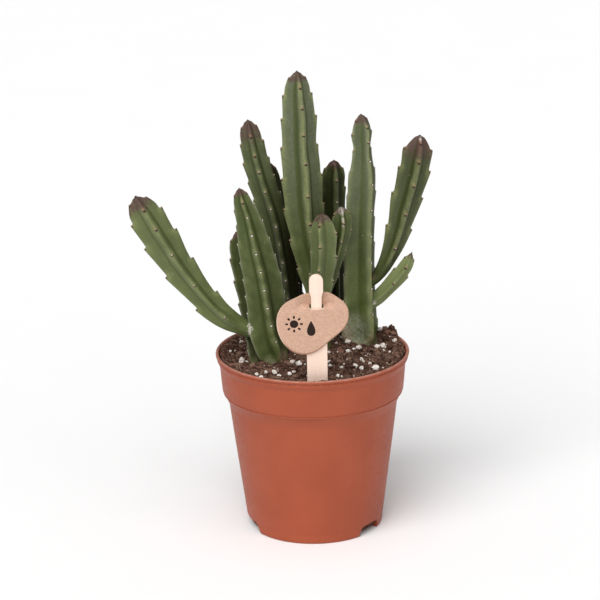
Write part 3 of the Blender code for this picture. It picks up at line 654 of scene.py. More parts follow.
def shared_group(name, inputs, outputs, fill):
    """A node group, made only once: a Place vector and numbers go in, and masks come out."""
    if name in bpy.data.node_groups:
        return bpy.data.node_groups[name]
    group = bpy.data.node_groups.new(name, "ShaderNodeTree")
    group.interface.new_socket("Place", in_out="INPUT", socket_type="NodeSocketVector")
    for label, default in inputs.items():
        socket = group.interface.new_socket(label, in_out="INPUT", socket_type="NodeSocketFloat")
        socket.default_value = default
    for label in outputs:
        group.interface.new_socket(label, in_out="OUTPUT", socket_type="NodeSocketFloat")
    nodes = Nodes(group)
    nodes.add("NodeGroupOutput", fill(nodes, nodes.add("NodeGroupInput")))
    return group


def fill_speckle(nodes, inputs):
    """Round specks of one size, in a share of the cells."""
    grid = {"Vector": inputs["Place"], "Scale": inputs["Cells per metre"]}
    cells = nodes.add("ShaderNodeTexVoronoi", grid)
    tone = nodes.add("ShaderNodeSeparateColor", {"Color": cells["Color"]})
    chosen = nodes.maths("LESS_THAN", tone["Red"], inputs["Share"])
    size = nodes.times(inputs["Size"], nodes.span(tone["Green"], 0.5, 1.2))
    dot = nodes.fade(cells["Distance"], size, nodes.times(size, 0.5))
    return {"Mask": nodes.times(dot, chosen)}


def fill_mottle(nodes, inputs):
    """Uneven patches from 0 to 1, coarse and fine."""
    coarse = nodes.noise(inputs["Place"], inputs["Patches per metre"], 3.0)
    finer = nodes.times(inputs["Patches per metre"], inputs["Fineness"])
    fine = nodes.noise(inputs["Place"], finer, 2.0)
    return {"Coarse": nodes.fade(coarse, 0.3, 0.7), "Fine": nodes.fade(fine, 0.25, 0.75)}


class Finish(Nodes):
    """A material in the making. Its colour is laid on in layers, each a colour of the settings."""

    def __init__(self, name, settings):
        self.material = bpy.data.materials.new(name)
        self.material.use_nodes = True
        super().__init__(self.material.node_tree)
        self.shader = self.tree.nodes["Principled BSDF"].inputs
        self.settings = settings
        self.here = self.add("ShaderNodeTexCoord")["Object"]
        self.colour = None

    def mark(self, name):
        """One of the piece's own attributes."""
        return self.add("ShaderNodeAttribute", attribute_name=name)["Fac"]

    def stretched(self, *factors):
        return self.add("ShaderNodeMapping", {"Vector": self.here, "Scale": factors})["Vector"]

    def use(self, name, vector, inputs, outputs, fill):
        """Places a shared group, by default over the whole piece in its own coordinates."""
        group = shared_group(name, inputs, outputs, fill)
        place = {"Place": self.here if vector is None else vector}
        return self.add("ShaderNodeGroup", {**place, **inputs}, node_tree=group)

    def specks(self, per_metre, size, share, vector=None):
        """Mask of round specks, by the cells in a metre, a speck's size and the share with one."""
        inputs = {"Cells per metre": per_metre, "Size": size, "Share": share}
        return self.use("speckle", vector, inputs, ["Mask"], fill_speckle)["Mask"]

    def mottle(self, per_metre, fineness=8.0, vector=None):
        """Patches, as outputs Coarse and Fine; fineness is how many times finer the second are."""
        inputs = {"Patches per metre": per_metre, "Fineness": fineness}
        return self.use("mottle", vector, inputs, ["Coarse", "Fine"], fill_mottle)

    def mix(self, share, *colours):
        """A mix of two colours; share is how much of the second there is."""
        inputs = {0: share}
        for socket, colour in zip((6, 7), colours):
            named = isinstance(colour, str)
            inputs[socket] = (*getattr(self.settings, colour), 1.0) if named else colour
        return self.add("ShaderNodeMix", inputs, data_type="RGBA")[2]

    def layer(self, share, colour, strength=1.0):
        """Lays a colour over what is there already."""
        share = share if strength == 1.0 else self.times(share, strength)
        self.colour = self.mix(share, self.colour, colour)

    def done(self, roughness, height=None, depth=0.0, gloss=None):
        """Wires the colour, the roughness and the relief to the shader, and gives the material."""
        self.tree.links.new(self.colour, self.shader["Base Color"])
        self.tree.links.new(roughness, self.shader["Roughness"])
        if height is not None:
            relief = {"Height": height, "Distance": depth, "Strength": 1.0}
            bump = self.add("ShaderNodeBump", relief)
            self.tree.links.new(bump["Normal"], self.shader["Normal"])
        if gloss is not None:
            self.shader["Specular IOR Level"].default_value = gloss
        return self.material


def stem_material(settings):
    """Green skin: paler crests with painted highlight, painted shade in the valleys and on shaded
    stems, grey bloom, purple tips, dark leaf scars with painted shadow, cork and chalk.
    """
    skin = Finish("stem_skin", settings)
    patches = skin.mottle(140.0)
    fine = skin.mottle(900.0, fineness=4.0)
    crest = skin.mark("crest")
    skin.colour = skin.mix(patches["Coarse"], "flank_deep", "flank")
    skin.layer(skin.times(skin.mark("bloom"), skin.span(fine["Coarse"], 0.6, 1.0)), "bloom")
    # Painted shade in the valleys between the ribs
    skin.layer(skin.fade(skin.mark("hollow"), 0.3, 0.7), "valley_shade", 0.75)
    # The crest strip: the skin's paler crests, brightened as painted highlight
    highlight_strip_share = skin.times(skin.fade(crest, 0.1, 0.7), skin.span(patches["Coarse"], 0.6, 0.95))
    skin.layer(highlight_strip_share, "crest")
    skin.layer(patches["Fine"], "flank_deep", 0.42)
    skin.layer(skin.specks(1500.0, size=0.3, share=0.4), "chalk", 0.09)
    skin.layer(skin.specks(330.0, size=0.13, share=0.16), "chalk", 0.3)
    # Painted shade: the shade mark darkens the skin, less on the crest strips; below zero it lays
    # the lighter fresh skin instead
    shade = skin.mark("shade")
    darker = skin.times(skin.maths("MAXIMUM", shade, 0.0), skin.span(highlight_strip_share, 0.8, 0.45))
    skin.layer(darker, "painted_shade")
    skin.layer(skin.maths("MAXIMUM", skin.times(shade, -1.0), 0.0), "fresh", 0.9)
    skin.layer(skin.times(skin.mark("margin"), skin.span(patches["Fine"], 0.25, 0.8)), "margin")
    blush = skin.times(skin.mark("blush"), skin.span(fine["Coarse"], 0.5, 1.5))
    purple = skin.fade(blush, 0.1, 0.7)
    skin.layer(purple, "blush")
    skin.layer(skin.times(purple, skin.fade(crest, 0.5, 0.9)), "glow", 0.1)
    skin.layer(skin.mark("glow"), "glow", 0.5)
    # Dark leaf scar under each tooth, partly painted shadow under the tooth
    skin.layer(skin.fade(skin.mark("tooth"), 0.3, 0.65), "scar")
    bark = skin.mix(patches["Fine"], "cork", "cork_pale")
    skin.layer(skin.times(skin.mark("cork"), skin.span(patches["Fine"], 0.35, 1.3)), bark)
    skin.layer(skin.times(skin.mark("scar"), skin.span(fine["Coarse"], 0.2, 1.3)), "chalk")
    # Less gloss where the painted shade lies
    skin.tree.links.new(skin.span(darker, 0.25, 0.03), skin.shader["Specular IOR Level"])
    grain = skin.noise(skin.here, 1400.0, 3.0)
    height = skin.maths("ADD", grain, skin.times(patches["Coarse"], 1.2))
    return skin.done(skin.span(patches["Fine"], 0.45, 0.62), height, 0.07 * MM)


def leaf_scar_material(settings):
    """The dried leaf stubs: orange-brown with a dark foot that is partly painted shade, or chalky
    where they have weathered.
    """
    stub = Finish("leaf_stub", settings)
    patches = stub.mottle(600.0)
    stub.colour = stub.mix(patches["Coarse"], "glow", "cork_pale")
    stub.layer(stub.mark("chalk"), "chalk")
    # Dark foot of each stub: partly dried scar, partly painted shade on its underside
    stub.layer(stub.mark("foot"), "scar")
    return stub.done(stub.span(patches["Fine"], 0.6, 0.85), patches["Fine"], 0.05 * MM)


def pot_material(settings):
    """Moulded terracotta plastic: a satin face with faint clouds, scuffs, dirt and a painted
    highlight along the top of the rim.
    """
    pot = Finish("pot_plastic", settings)
    clouds = pot.mottle(45.0, fineness=12.0)
    pot.colour = pot.mix(clouds["Coarse"], "colour", "colour_deep")
    height = pot.axes(pot.here)["Z"]
    scuffs = pot.specks(60.0, size=0.16, share=0.07, vector=pot.stretched(1.0, 1.0, 4.5))
    pot.layer(pot.times(scuffs, clouds["Fine"]), "scuff", 0.15)
    under_lip = pot.times(pot.fade(height, *LIP_DIRT_BELOW), pot.fade(height, *LIP_DIRT_ABOVE))
    pot.layer(pot.times(under_lip, pot.fade(pot.mottle(900.0)["Coarse"], 0.5, 0.9)), "dirt", 0.4)
    # Painted highlight: the top of the rim is laid paler
    pot.layer(pot.times(pot.fade(height, *RIM_HIGHLIGHT), pot.span(clouds["Fine"], 0.25, 0.85)), "rim")
    pot.layer(pot.specks(210.0, size=0.06, share=0.1), "dirt", 0.7)
    grain = pot.noise(pot.here, 2200.0, 2.0)
    return pot.done(pot.span(clouds["Fine"], 0.42, 0.55), grain, 0.02 * MM, gloss=0.28)


def peat_material(settings):
    """Dark peat with lighter crumbs, and the bed paler where it stands high; each crumb has a tone
    of its own.
    """
    peat = Finish("peat", settings)
    crumbs = peat.mottle(380.0, fineness=3.0)
    grain = peat.mottle(1300.0, fineness=2.0)
    peat.colour = peat.mix(crumbs["Fine"], "peat_dark", "peat")
    peat.layer(peat.maths("POWER", peat.mark("tone"), 2.0), "peat_pale", 0.75)
    peat.layer(grain["Coarse"], "peat_dark", 0.5)
    peat.layer(peat.specks(1000.0, size=0.3, share=0.1), "fibre", 0.5)
    height = peat.maths("ADD", crumbs["Fine"], grain["Coarse"])
    return peat.done(peat.span(crumbs["Fine"], 0.85, 1.0), height, 0.4 * MM, gloss=0.12)


def perlite_material(settings):
    """White porous grains, here and there stained by the peat."""
    grain = Finish("perlite", settings)
    pores = grain.mottle(900.0, fineness=3.0)
    grain.colour = grain.mix(grain.fade(pores["Coarse"], 0.1, 0.0), "perlite", "perlite_stained")
    grain.layer(grain.fade(grain.mottle(260.0)["Coarse"], 0.5, 1.0), "perlite_stained", 0.45)
    return grain.done(grain.span(pores["Fine"], 0.75, 0.95), pores["Coarse"], 0.15 * MM)


def fibre_material(settings, name, first, second):
    """Coir fibres and bark: streaks along the piece, each with a tone of its own."""
    fibre = Finish(name, settings)
    streaks = fibre.mottle(500.0, fineness=4.0)
    fibre.colour = fibre.mix(streaks["Coarse"], first, second)
    fibre.layer(fibre.mark("tone"), "peat_dark", 0.5)
    return fibre.done(fibre.span(streaks["Fine"], 0.7, 0.9), streaks["Coarse"], 0.1 * MM)


def wood_material(settings):
    """Pale birch: fine streaks along the stick, a few short darker pores and fine specks."""
    wood = Finish("birch", settings)
    streaks = wood.mottle(700.0, fineness=3.0, vector=wood.stretched(1.0, 1.0, 0.06))
    wood.colour = wood.mix(wood.times(streaks["Coarse"], 0.5), "wood", "wood_grain")
    wood.layer(wood.mottle(90.0)["Coarse"], "wood_grain", 0.3)
    pores = wood.specks(1400.0, size=0.2, share=0.12, vector=wood.stretched(1.0, 1.0, 0.12))
    wood.layer(pores, "wood_pore", 0.25)
    wood.layer(wood.specks(1300.0, size=0.3, share=0.35), "wood_pore", 0.12)
    return wood.done(wood.span(streaks["Fine"], 0.6, 0.75), streaks["Coarse"], 0.05 * MM)


def card_material(settings):
    """Kraft card with fine fibres, painted shade and a painted highlight along its border, and a
    small sun and a water drop printed on its front.
    """
    card = Finish("kraft_card", settings)
    paper = card.mottle(900.0, fineness=3.0, vector=card.stretched(1.0, 1.0, 2.2))
    card.colour = card.mix(paper["Coarse"], "card", "card_fibre")
    card.layer(card.mottle(110.0)["Coarse"], "card_fibre", 0.25)
    card.layer(card.specks(1000.0, size=0.26, share=0.2), "card_fleck", 0.6)
    axes = card.axes(card.here)
    rim = card.mark("rim")
    # Painted shade along the card's border at the lower right
    slope = card.maths("SUBTRACT", card.times(axes["X"], CARD_SHADE_SLOPE), axes["Z"])
    painted_shade_edge = card.times(card.fade(rim, 0.35, 0.75), card.fade(slope, *CARD_SHADE_FADE))
    card.layer(painted_shade_edge, "card_fleck", 0.75)
    # Painted highlight along the card's border at the left
    left = card.times(card.fade(rim, 0.6, 0.95), card.fade(axes["X"], *CARD_HIGHLIGHT_FADE))
    card.layer(left, "wood", 0.6)
    card.layer(care_marks(card, axes), "ink", 0.98)
    return card.done(card.span(paper["Fine"], 0.72, 0.86), paper["Fine"], 0.03 * MM, gloss=0.15)


def care_marks(card, axes):
    """Mask of the printed care marks on the card's front: a sun and a drop side by side."""
    normal = card.add("ShaderNodeNewGeometry")["Normal"]
    front = card.maths("LESS_THAN", card.axes(normal)["Y"], -0.5)
    printed = card.maths("MAXIMUM", sun_mask(card, axes), drop_mask(card, axes))
    return card.times(printed, front)


def sun_mask(card, axes):
    """A disc with a ring of short rays."""
    across = card.maths("SUBTRACT", axes["X"], SUN_AT.x)
    up = card.maths("SUBTRACT", axes["Z"], SUN_AT.y)
    away = card.maths("SQRT", card.maths("ADD", card.times(across, across), card.times(up, up)))
    turns = card.times(card.maths("ARCTAN2", up, across), SUN_RAYS)
    ray = card.maths("GREATER_THAN", card.maths("COSINE", turns), SUN_RAY_GAP)
    disc = card.maths("LESS_THAN", away, SUN_DISC_R)
    beyond = card.maths("GREATER_THAN", away, SUN_GAP_R)
    rays = card.times(ray, card.times(beyond, card.maths("LESS_THAN", away, SUN_R)))
    return card.maths("MAXIMUM", disc, rays)


def drop_mask(card, axes):
    """A water drop: round below, drawn out to a point above."""
    share = card.maths("DIVIDE", card.maths("SUBTRACT", axes["Z"], DROP_AT.y), DROP_HEIGHT)
    share = card.maths("MINIMUM", card.maths("MAXIMUM", share, 0.0), 1.0)
    taper = card.maths("POWER", card.maths("SUBTRACT", 1.0, share), DROP_TAPER)
    half = card.times(card.maths("SQRT", share), taper, DROP_WIDTH)
    across = card.maths("ABSOLUTE", card.maths("SUBTRACT", axes["X"], DROP_AT.x))
    return card.maths("LESS_THAN", across, half)


def card_edge_material(settings):
    """The card's cut edge: browner than the card, partly as painted shade, with the layers showing
    as fine lines, and palest at the slot.
    """
    edge = Finish("card_edge", settings)
    layers = edge.mottle(1500.0, fineness=3.0)
    edge.colour = edge.mix(layers["Coarse"], "card_cut_and_shade", "card")
    axes = edge.axes(edge.here)
    aside = edge.maths("ABSOLUTE", edge.maths("SUBTRACT", axes["X"], STICK_X))
    across = edge.maths("LESS_THAN", aside, SLOT_EDGE_HALF)
    heights = [edge.fade(axes["Z"], *ends) for ends in (SLOT_EDGE_BELOW, SLOT_EDGE_ABOVE)]
    edge.layer(edge.times(across, *heights), "wood")
    return edge.done(edge.span(layers["Fine"], 0.75, 0.9), layers["Fine"], 0.03 * MM)


# Stems


def catmull_rom(a, b, c, d, t):
    """A smooth curve from b to c, with a and d as its outer neighbours."""
    square = 2.0 * a - 5.0 * b + 4.0 * c - d
    cube = 3.0 * b - a - 3.0 * c + d
    return 0.5 * (2.0 * b + (c - a) * t + square * t ** 2 + cube * t ** 3)


def tooth_levels(growth, length):
    """Distances below the tip at which teeth stand, closer together towards the tip."""
    levels = [growth.tip_step * MM]
    while True:
        step = min(growth.step, growth.tip_step + growth.more * len(levels)) * MM
        if levels[-1] + step > length:
            return levels
        levels.append(levels[-1] + step)


class Axis:
    """A growth's middle line and radius by the distance below its tip, and its teeth's levels."""

    STEPS = 12

    def __init__(self, growth, rooted):
        self.growth = growth
        self.seed = Vector(growth.points[-1][:3])
        self.ground = growth.points[0][2] * MM if rooted else 0.0
        points = [Vector(point) * MM for point in growth.points]
        if rooted:
            points.insert(0, points[0].copy())
            points[0].z = self.ground - FOOT_DEPTH
        self.samples = [points[0]]
        last = len(points) - 1
        for i in range(last):
            around = (points[max(i - 1, 0)], points[i], points[i + 1], points[min(i + 2, last)])
            for k in range(1, self.STEPS + 1):
                self.samples.append(catmull_rom(*around, k / self.STEPS))
        self.samples.reverse()
        self.below = [0.0]
        for here, there in zip(self.samples, self.samples[1:]):
            self.below.append(self.below[-1] + (there.xyz - here.xyz).length)
        self.length = self.below[-1]
        self.ribbed = self.length - (FOOT_DEPTH if rooted else 0.0)
        self.fading = RIB_FADE if rooted else min(BRANCH_FADE, BRANCH_FADE_SHARE * self.length)
        bare = BARE_FOOT if rooted else min(BARE_JOINT, BARE_JOINT_SHARE * self.length)
        self.levels = tooth_levels(growth, self.ribbed - bare)
        self.own = [self.levels[(rib + growth.first_pair) % 2 :: 2] for rib in range(RIBS)]

    def at(self, below):
        """(point, upward direction, radius) at this distance below the tip."""
        below = min(max(below, 0.0), self.length)
        i = 0
        while i < len(self.below) - 2 and self.below[i + 1] < below:
            i += 1
        share = (below - self.below[i]) / (self.below[i + 1] - self.below[i])
        mixed = self.samples[i].lerp(self.samples[i + 1], share)
        ahead = self.samples[max(i - 2, 0)]
        behind = self.samples[min(i + 3, len(self.samples) - 1)]
        return mixed.xyz, (ahead.xyz - behind.xyz).normalized(), mixed.w


def tooth_share(growth, own, below):
    """The share of a whole tooth here: a slope up to each tooth, and a rounded shelf above it."""
    above = [d for d in own if d <= below]
    under = [d for d in own if d > below]
    share = 0.0
    if above:
        gap = (under[0] if under else above[-1] + 2 * growth.step * MM) - above[-1]
        share = (1.0 - min(1.0, (below - above[-1]) / gap)) ** TOOTH_POWER
    if under:
        share = max(share, smooth_step(SHELF / growth.tooth, 0.0, under[0] - below))
    return share


def nearest(own, below):
    """How far below the nearest tooth this is; less than zero above it."""
    return min((below - d for d in own), key=abs, default=1.0)


def tip_shape(below):
    """The share of its radius that a stem has this far below its tip."""
    share = min(1.0, below / TIP_LENGTH)
    dome = math.sqrt(min(1.0, max(TIP_DOME_LEAST, below / TIP_DOME_LENGTH)))
    return TIP_DOME * dome + (1.0 - TIP_DOME) * math.sin(math.pi / 2 * share) ** TIP_POWER


class Ring:
    """What all points of one ring round a stem share."""

    def __init__(self, axis, below):
        growth = axis.growth
        self.axis = axis
        self.below = below
        self.middle, self.up, radius = axis.at(below)
        ribbed = max(0.0, axis.ribbed - below)
        self.fade = smooth_step(0.0, axis.fading, ribbed)
        young = min(1.0, YOUNG_TOOTH + below / YOUNG_LENGTH * (1.0 - YOUNG_TOOTH))
        self.tooth = growth.tooth * MM * self.fade * young
        self.girth = radius * tip_shape(below) * (ROOT_SHARE + (1.0 - ROOT_SHARE) * self.fade)
        front = Vector((0.0, -1.0, 0.0))
        self.front = (front - front.dot(self.up) * self.up).normalized()
        self.right = self.up.cross(self.front)
        twist = growth.twist * max(0.0, 1.0 - ribbed / TWIST_LENGTH)
        self.turn = math.radians(growth.turn + twist)
        self.shares = [tooth_share(growth, own, below) for own in axis.own]
        self.near = [nearest(own, below) for own in axis.own]
        self.chalk = growth.chalk * smooth_step(*WHITENING, below / (growth.blush * MM))

    def outward(self, angle):
        turned = angle + self.turn
        return self.front * math.cos(turned) + self.right * math.sin(turned)

    def point(self, angle):
        """The surface at this angle from the first rib, with what the skin there needs to know."""
        rib = round(angle / (math.pi / 2)) % RIBS
        off = (angle + math.pi / 4) % (math.pi / 2) - math.pi / 4
        rounded = math.hypot(abs(math.sin(2.0 * angle)), CREST_ROUND) - CREST_ROUND
        swing = (rounded / (math.hypot(1.0, CREST_ROUND) - CREST_ROUND)) ** FLANK_POWER
        share = self.shares[rib]
        hump = share * bell(off * self.girth, TOOTH_HALF + TOOTH_SPREAD * (1.0 - share))
        reach = self.girth * (1.0 - (1.0 - VALLEY) * self.fade * swing)
        reach += self.tooth * (hump - (1.0 - swing))
        wave = Vector((math.cos(angle), math.sin(angle), self.below / WOBBLE_LENGTH))
        reach *= 1.0 + WOBBLE * noise.noise(wave + self.axis.seed)
        return self.middle + self.outward(angle) * reach, rib, off, swing


def ring_distances(axis):
    """Distances below the tip for the rings, close together round each tooth."""
    settings = bpy.context.scene.carrion_stems
    rings = [0.0]
    while rings[-1] < axis.length:
        near = min(abs(rings[-1] - level) for level in [0.0, *axis.levels])
        rings.append(rings[-1] + max(settings.fine_step, min(settings.coarse_step, near * 0.5)))
    rings[-1] = axis.length
    return rings


def crowded(share):
    """Spreads points round the section so that they are closest on the four crests."""
    quarter, within = divmod(share * RIBS, 1.0)
    return (quarter + within - CREST_CROWDING * math.sin(math.tau * within)) * math.pi / 2


def scarred(spot, scars, crispness):
    """How strong the strongest of the scars is at this spot."""
    found = 0.0
    for *place, radius, strength in scars:
        away = ((spot - Vector(place) * MM) * SCAR_SHAPE).length / (radius * MM)
        edge = smooth_step(SCAR_OUTER, SCAR_INNER + crispness * strength, away)
        found = max(found, strength * edge)
    return found


def skin_marks(ring, rib, off, swing, spot):
    """The marks of one point of the skin."""
    growth, ground = ring.axis.growth, ring.axis.ground
    on_side = rib % 2
    near = ring.near[rib]
    aside = abs(off) * ring.girth
    above_soil = max(0.0, spot.z - ground)
    foot_cork = FOOT_CORK * smooth_step(*FOOT_CORK_FADE, above_soil) if ground else 0.0
    # Painted shade in the valleys, kept narrower on the side ribs
    valley_shade = SIDE_VALLEY * smooth_step(*SIDE_VALLEY_FADE, swing) if on_side else swing
    # The crest strip: the skin's paler crest, laid brighter as painted highlight by clear and on
    # the front and back ribs
    strip = growth.clear * (SIDE_CREST_HIGHLIGHT if on_side else 1.0)
    strip *= 1.0 - growth.strip * (1.0 - bell(near, STRIP_REACH))
    # Painted shade: gloom darkens the skin towards the foot, most on the side that faces the middle
    # of the plant
    inward = (spot - ring.middle).xy.dot((SHADE_MIDDLE - ring.middle.xy).normalized()) / ring.girth
    gloom = growth.gloom * smooth_step(*GLOOM_FADE, ring.below) * (1.0 + GLOOM_INWARD * inward)
    margin = growth.margin * on_side * bell(aside - MARGIN_OUT, MARGIN_WIDTH)
    if rib == 0:
        margin = growth.line * bell((off + LINE_OUT * growth.strip) * ring.girth, LINE_WIDTH)
    # The dark scar under each tooth: a dried leaf scar with painted shadow under the tooth
    scar_at = near - (TOOTH_SCAR_BELOW - ring.chalk) * MM
    return {
        "crest": max(0.0, 1.0 - abs(off) / growth.strip) * ring.fade ** 2 * strip,
        "hollow": valley_shade * growth.deep,
        "blush": max(0.0, 1.0 - ring.below / (growth.blush * MM)),
        "bloom": growth.bloom * smooth_step(*BLOOM_FADE, ring.below),
        "shade": growth.shade + gloom,
        "margin": margin * smooth_step(0.0, MARGIN_LENGTH, ring.below) * ring.fade,
        "tooth": bell(scar_at, TOOTH_SCAR[0]) * bell(aside, TOOTH_SCAR[1]),
        "glow": bell(near + GLOW_ABOVE, GLOW[0]) * bell(aside, GLOW[1]) * (1.0 - ring.chalk),
        "cork": max(foot_cork, scarred(spot, CORKY, 0.0)),
        "scar": scarred(spot, CHALKY, CHALKY_CRISPNESS),
        "grown": 1.0,
    }


def grow(axis, name):
    """One stem or branch: a tube shaped by its ribs, with rings close together at the teeth."""
    rings = [Ring(axis, below) for below in ring_distances(axis)]
    sides = bpy.context.scene.carrion_stems.sides
    last = len(rings) - 1
    bm = bmesh.new()
    layers = {key: bm.verts.layers.float.new(key) for key in MARKS}
    add_tube(bm, sides, last)
    for vert in bm.verts:
        ring = rings[round(last / 2 - vert.co.z)]
        share = round(math.atan2(vert.co.y, vert.co.x) / math.tau * sides) % sides / sides
        vert.co, rib, off, swing = ring.point(crowded(share))
        for key, value in skin_marks(ring, rib, off, swing, vert.co).items():
            vert[layers[key]] = value
    return mesh_from(bm, name)


def heal_seams(mesh):
    """Gives the points that the joining made the marks of their neighbours."""
    bm = bmesh.new()
    bm.from_mesh(mesh)
    layers = {key: bm.verts.layers.float[key] for key in MARKS}
    grown = layers["grown"]
    for vert in [v for v in bm.verts if v[grown] < 0.5]:
        around = [e.other_vert(vert) for e in vert.link_edges]
        known = [v for v in around if v[grown] > 0.5]
        for layer in layers.values():
            if known:
                vert[layer] = sum(v[layer] for v in known) / len(known)
    bm.to_mesh(mesh)
    bm.free()


def add_stubs(bm, axis):
    """A small dried leaf stub on each tooth of one growth."""
    chalk = bm.verts.layers.float["chalk"]
    foot = bm.verts.layers.float["foot"]
    rng = random.Random(len(axis.levels))
    for rib, own in enumerate(axis.own):
        angle = rib * math.pi / 2
        for level in own:
            ring = Ring(axis, level)
            outward = ring.outward(angle)
            size = min(1.0, STUB_YOUNG + level / STUB_GROWN) * rng.uniform(*STUB_LARGER)
            size *= (1.0 + STUB_CHALKY * axis.growth.chalk) * MM
            spot = ring.point(angle)[0] + STUB_RAISE * size * ring.up - STUB_SUNK * size * outward
            across = ring.outward(angle + math.pi / 2) * STUB_HALF[0] * size
            along = (ring.up - STUB_TILT * outward).normalized() * STUB_HALF[1] * size
            out = (outward + STUB_TILT * ring.up).normalized() * STUB_HALF[2] * size
            pale = min(1.0, ring.chalk * rng.uniform(*STUB_PALER))
            # Each stub is darker at its foot: partly dried scar, partly painted shade on its
            # underside
            for vert in bmesh.ops.create_icosphere(bm, subdivisions=1, radius=1.0)["verts"]:
                vert[foot] = smooth_step(*STUB_FOOT, vert.co.y) * (1.0 - pale)
                vert[chalk] = pale
                vert.co = spot + across * vert.co.x + along * vert.co.y + out * vert.co.z


def make_plant(name, growths, skin, stub):
    """A stem on its root, joined with its branches, and the leaf stubs on all their teeth."""
    axes = [Axis(growth, growth is growths[0]) for growth in growths]
    mesh, *branches = [grow(axis, name) for axis in axes]
    if branches:
        mesh = combine(mesh, branches, "UNION", name)
        heal_seams(mesh)
    mesh.name = name + "_skin"
    smooth(mesh, 70)
    add_piece(name + "_skin", mesh, skin, "stem", name)
    bm = bmesh.new()
    bm.verts.layers.float.new("chalk")
    bm.verts.layers.float.new("foot")
    for axis in axes:
        add_stubs(bm, axis)
    add_shape(name + "_leaf_stubs", bm, 180, stub, "stem")


# Pot


def pot_profile():
    """Half of the pot's section: up the inside from the floor's middle, then down the outside."""
    foot = FOOT_R - POT_WALL
    profile = [(0.0, POT_FLOOR), (foot - FLOOR_CORNER, POT_FLOOR), (foot, POT_FLOOR + FLOOR_CORNER)]
    profile += [(radius - POT_WALL, z) for z, radius in WALL_OUTSIDE[1:]]
    profile += [(radius, z) for z, radius in LIP_INSIDE[1:]]
    return profile + [(radius * MM, z * MM) for radius, z in POT_OUTSIDE]


def make_notch(angle, width):
    """A cutter for one drain notch, wider below, with its two upper corners rounded."""
    bm = bmesh.new()
    bmesh.ops.create_cube(bm, size=1.0)
    size = Matrix.Diagonal((width * MM, NOTCH_DEPTH, 2 * NOTCH_HEIGHT, 1.0))
    bmesh.ops.transform(bm, matrix=size, verts=bm.verts)
    for vert in bm.verts:
        if vert.co.z < 0.0:
            vert.co.x *= NOTCH_FLARE
    upper = [e for e in bm.edges if all(v.co.z > 0 for v in e.verts)]
    corners = [e for e in upper if abs(e.verts[0].co.y - e.verts[1].co.y) > NOTCH_DEPTH / 2]
    ease_edges(bm, corners, NOTCH_CORNER, 6)
    turned = math.radians(angle)
    spot = Matrix.Translation((FOOT_R * math.sin(turned), -FOOT_R * math.cos(turned), 0.0))
    bmesh.ops.transform(bm, matrix=spot @ Matrix.Rotation(turned, 4, "Z"), verts=bm.verts)
    return mesh_from(bm, f"notch_{angle}")


def make_pot(settings):
    """The pot: its half section spun round, with the drain notches cut out."""
    bm = bmesh.new()
    verts = [bm.verts.new((radius, 0.0, z)) for radius, z in pot_profile()]
    edges = [bm.edges.new(pair) for pair in zip(verts, verts[1:])]
    middle, upright = (0, 0, 0), (0, 0, 1)
    bmesh.ops.spin(
        bm, geom=verts + edges, cent=middle, axis=upright, angle=math.tau, steps=settings.sides,
        use_merge=True,
    )
    bmesh.ops.remove_doubles(bm, verts=bm.verts, dist=MERGE)
    bmesh.ops.recalc_face_normals(bm, faces=bm.faces)
    cutters = [make_notch(angle, width) for angle, width in NOTCHES]
    mesh = combine(mesh_from(bm, "pot"), cutters, "DIFFERENCE", "pot")
    mesh.name = "pot_shell"
    smooth(mesh, 38)
    add_piece("pot_shell", mesh, pot_material(settings), "pot", "pot")


# Soil


def soil_top(x, y):
    """Height of the soil: mounded to the middle, higher at the back right, lumpy, with heaps."""
    across = math.hypot(x, y) / BAND_TOP_R
    crown = SOIL_CROWN * (1.0 - across * across)
    lumps = noise.noise(Vector((x, y, 0.0)) / SOIL_GRAIN)
    grains = noise.noise(Vector((x, y, SOIL_GRAIN)) * SOIL_FINER / SOIL_GRAIN)
    relief = SOIL_RELIEF * (lumps + SOIL_FINE_SHARE * grains)
    heaps = 0.0
    for heap_x, heap_y, height, spread in SOIL_HEAPS:
        heaps += height * MM * bell(math.hypot(x - heap_x * MM, y - heap_y * MM), spread * MM)
    bank = SOIL_BANK * smooth_step(SOIL_BANK_R, SOIL_TOP_R, math.hypot(x, y))
    return SOIL_RIM_Z + crown + bank + SOIL_TILT * (x + y) + relief + heaps


def crumbling(x, y):
    """How far the crumbs of the bed stand up here, or sink."""
    crumbs = abs(noise.noise(Vector((x, y, 0.01)) / CRUMB_GRAIN))
    dust = noise.noise(Vector((x, y, 0.02)) / DUST_GRAIN)
    return (CRUMB_LEVEL - crumbs) * CRUMB_RELIEF + dust * DUST_RELIEF


def on_soil(x, y, lift=0.0):
    """The place above or below (x, y) that lies this far above the crumbs."""
    return Vector((x, y, soil_top(x, y) + crumbling(x, y) + lift))


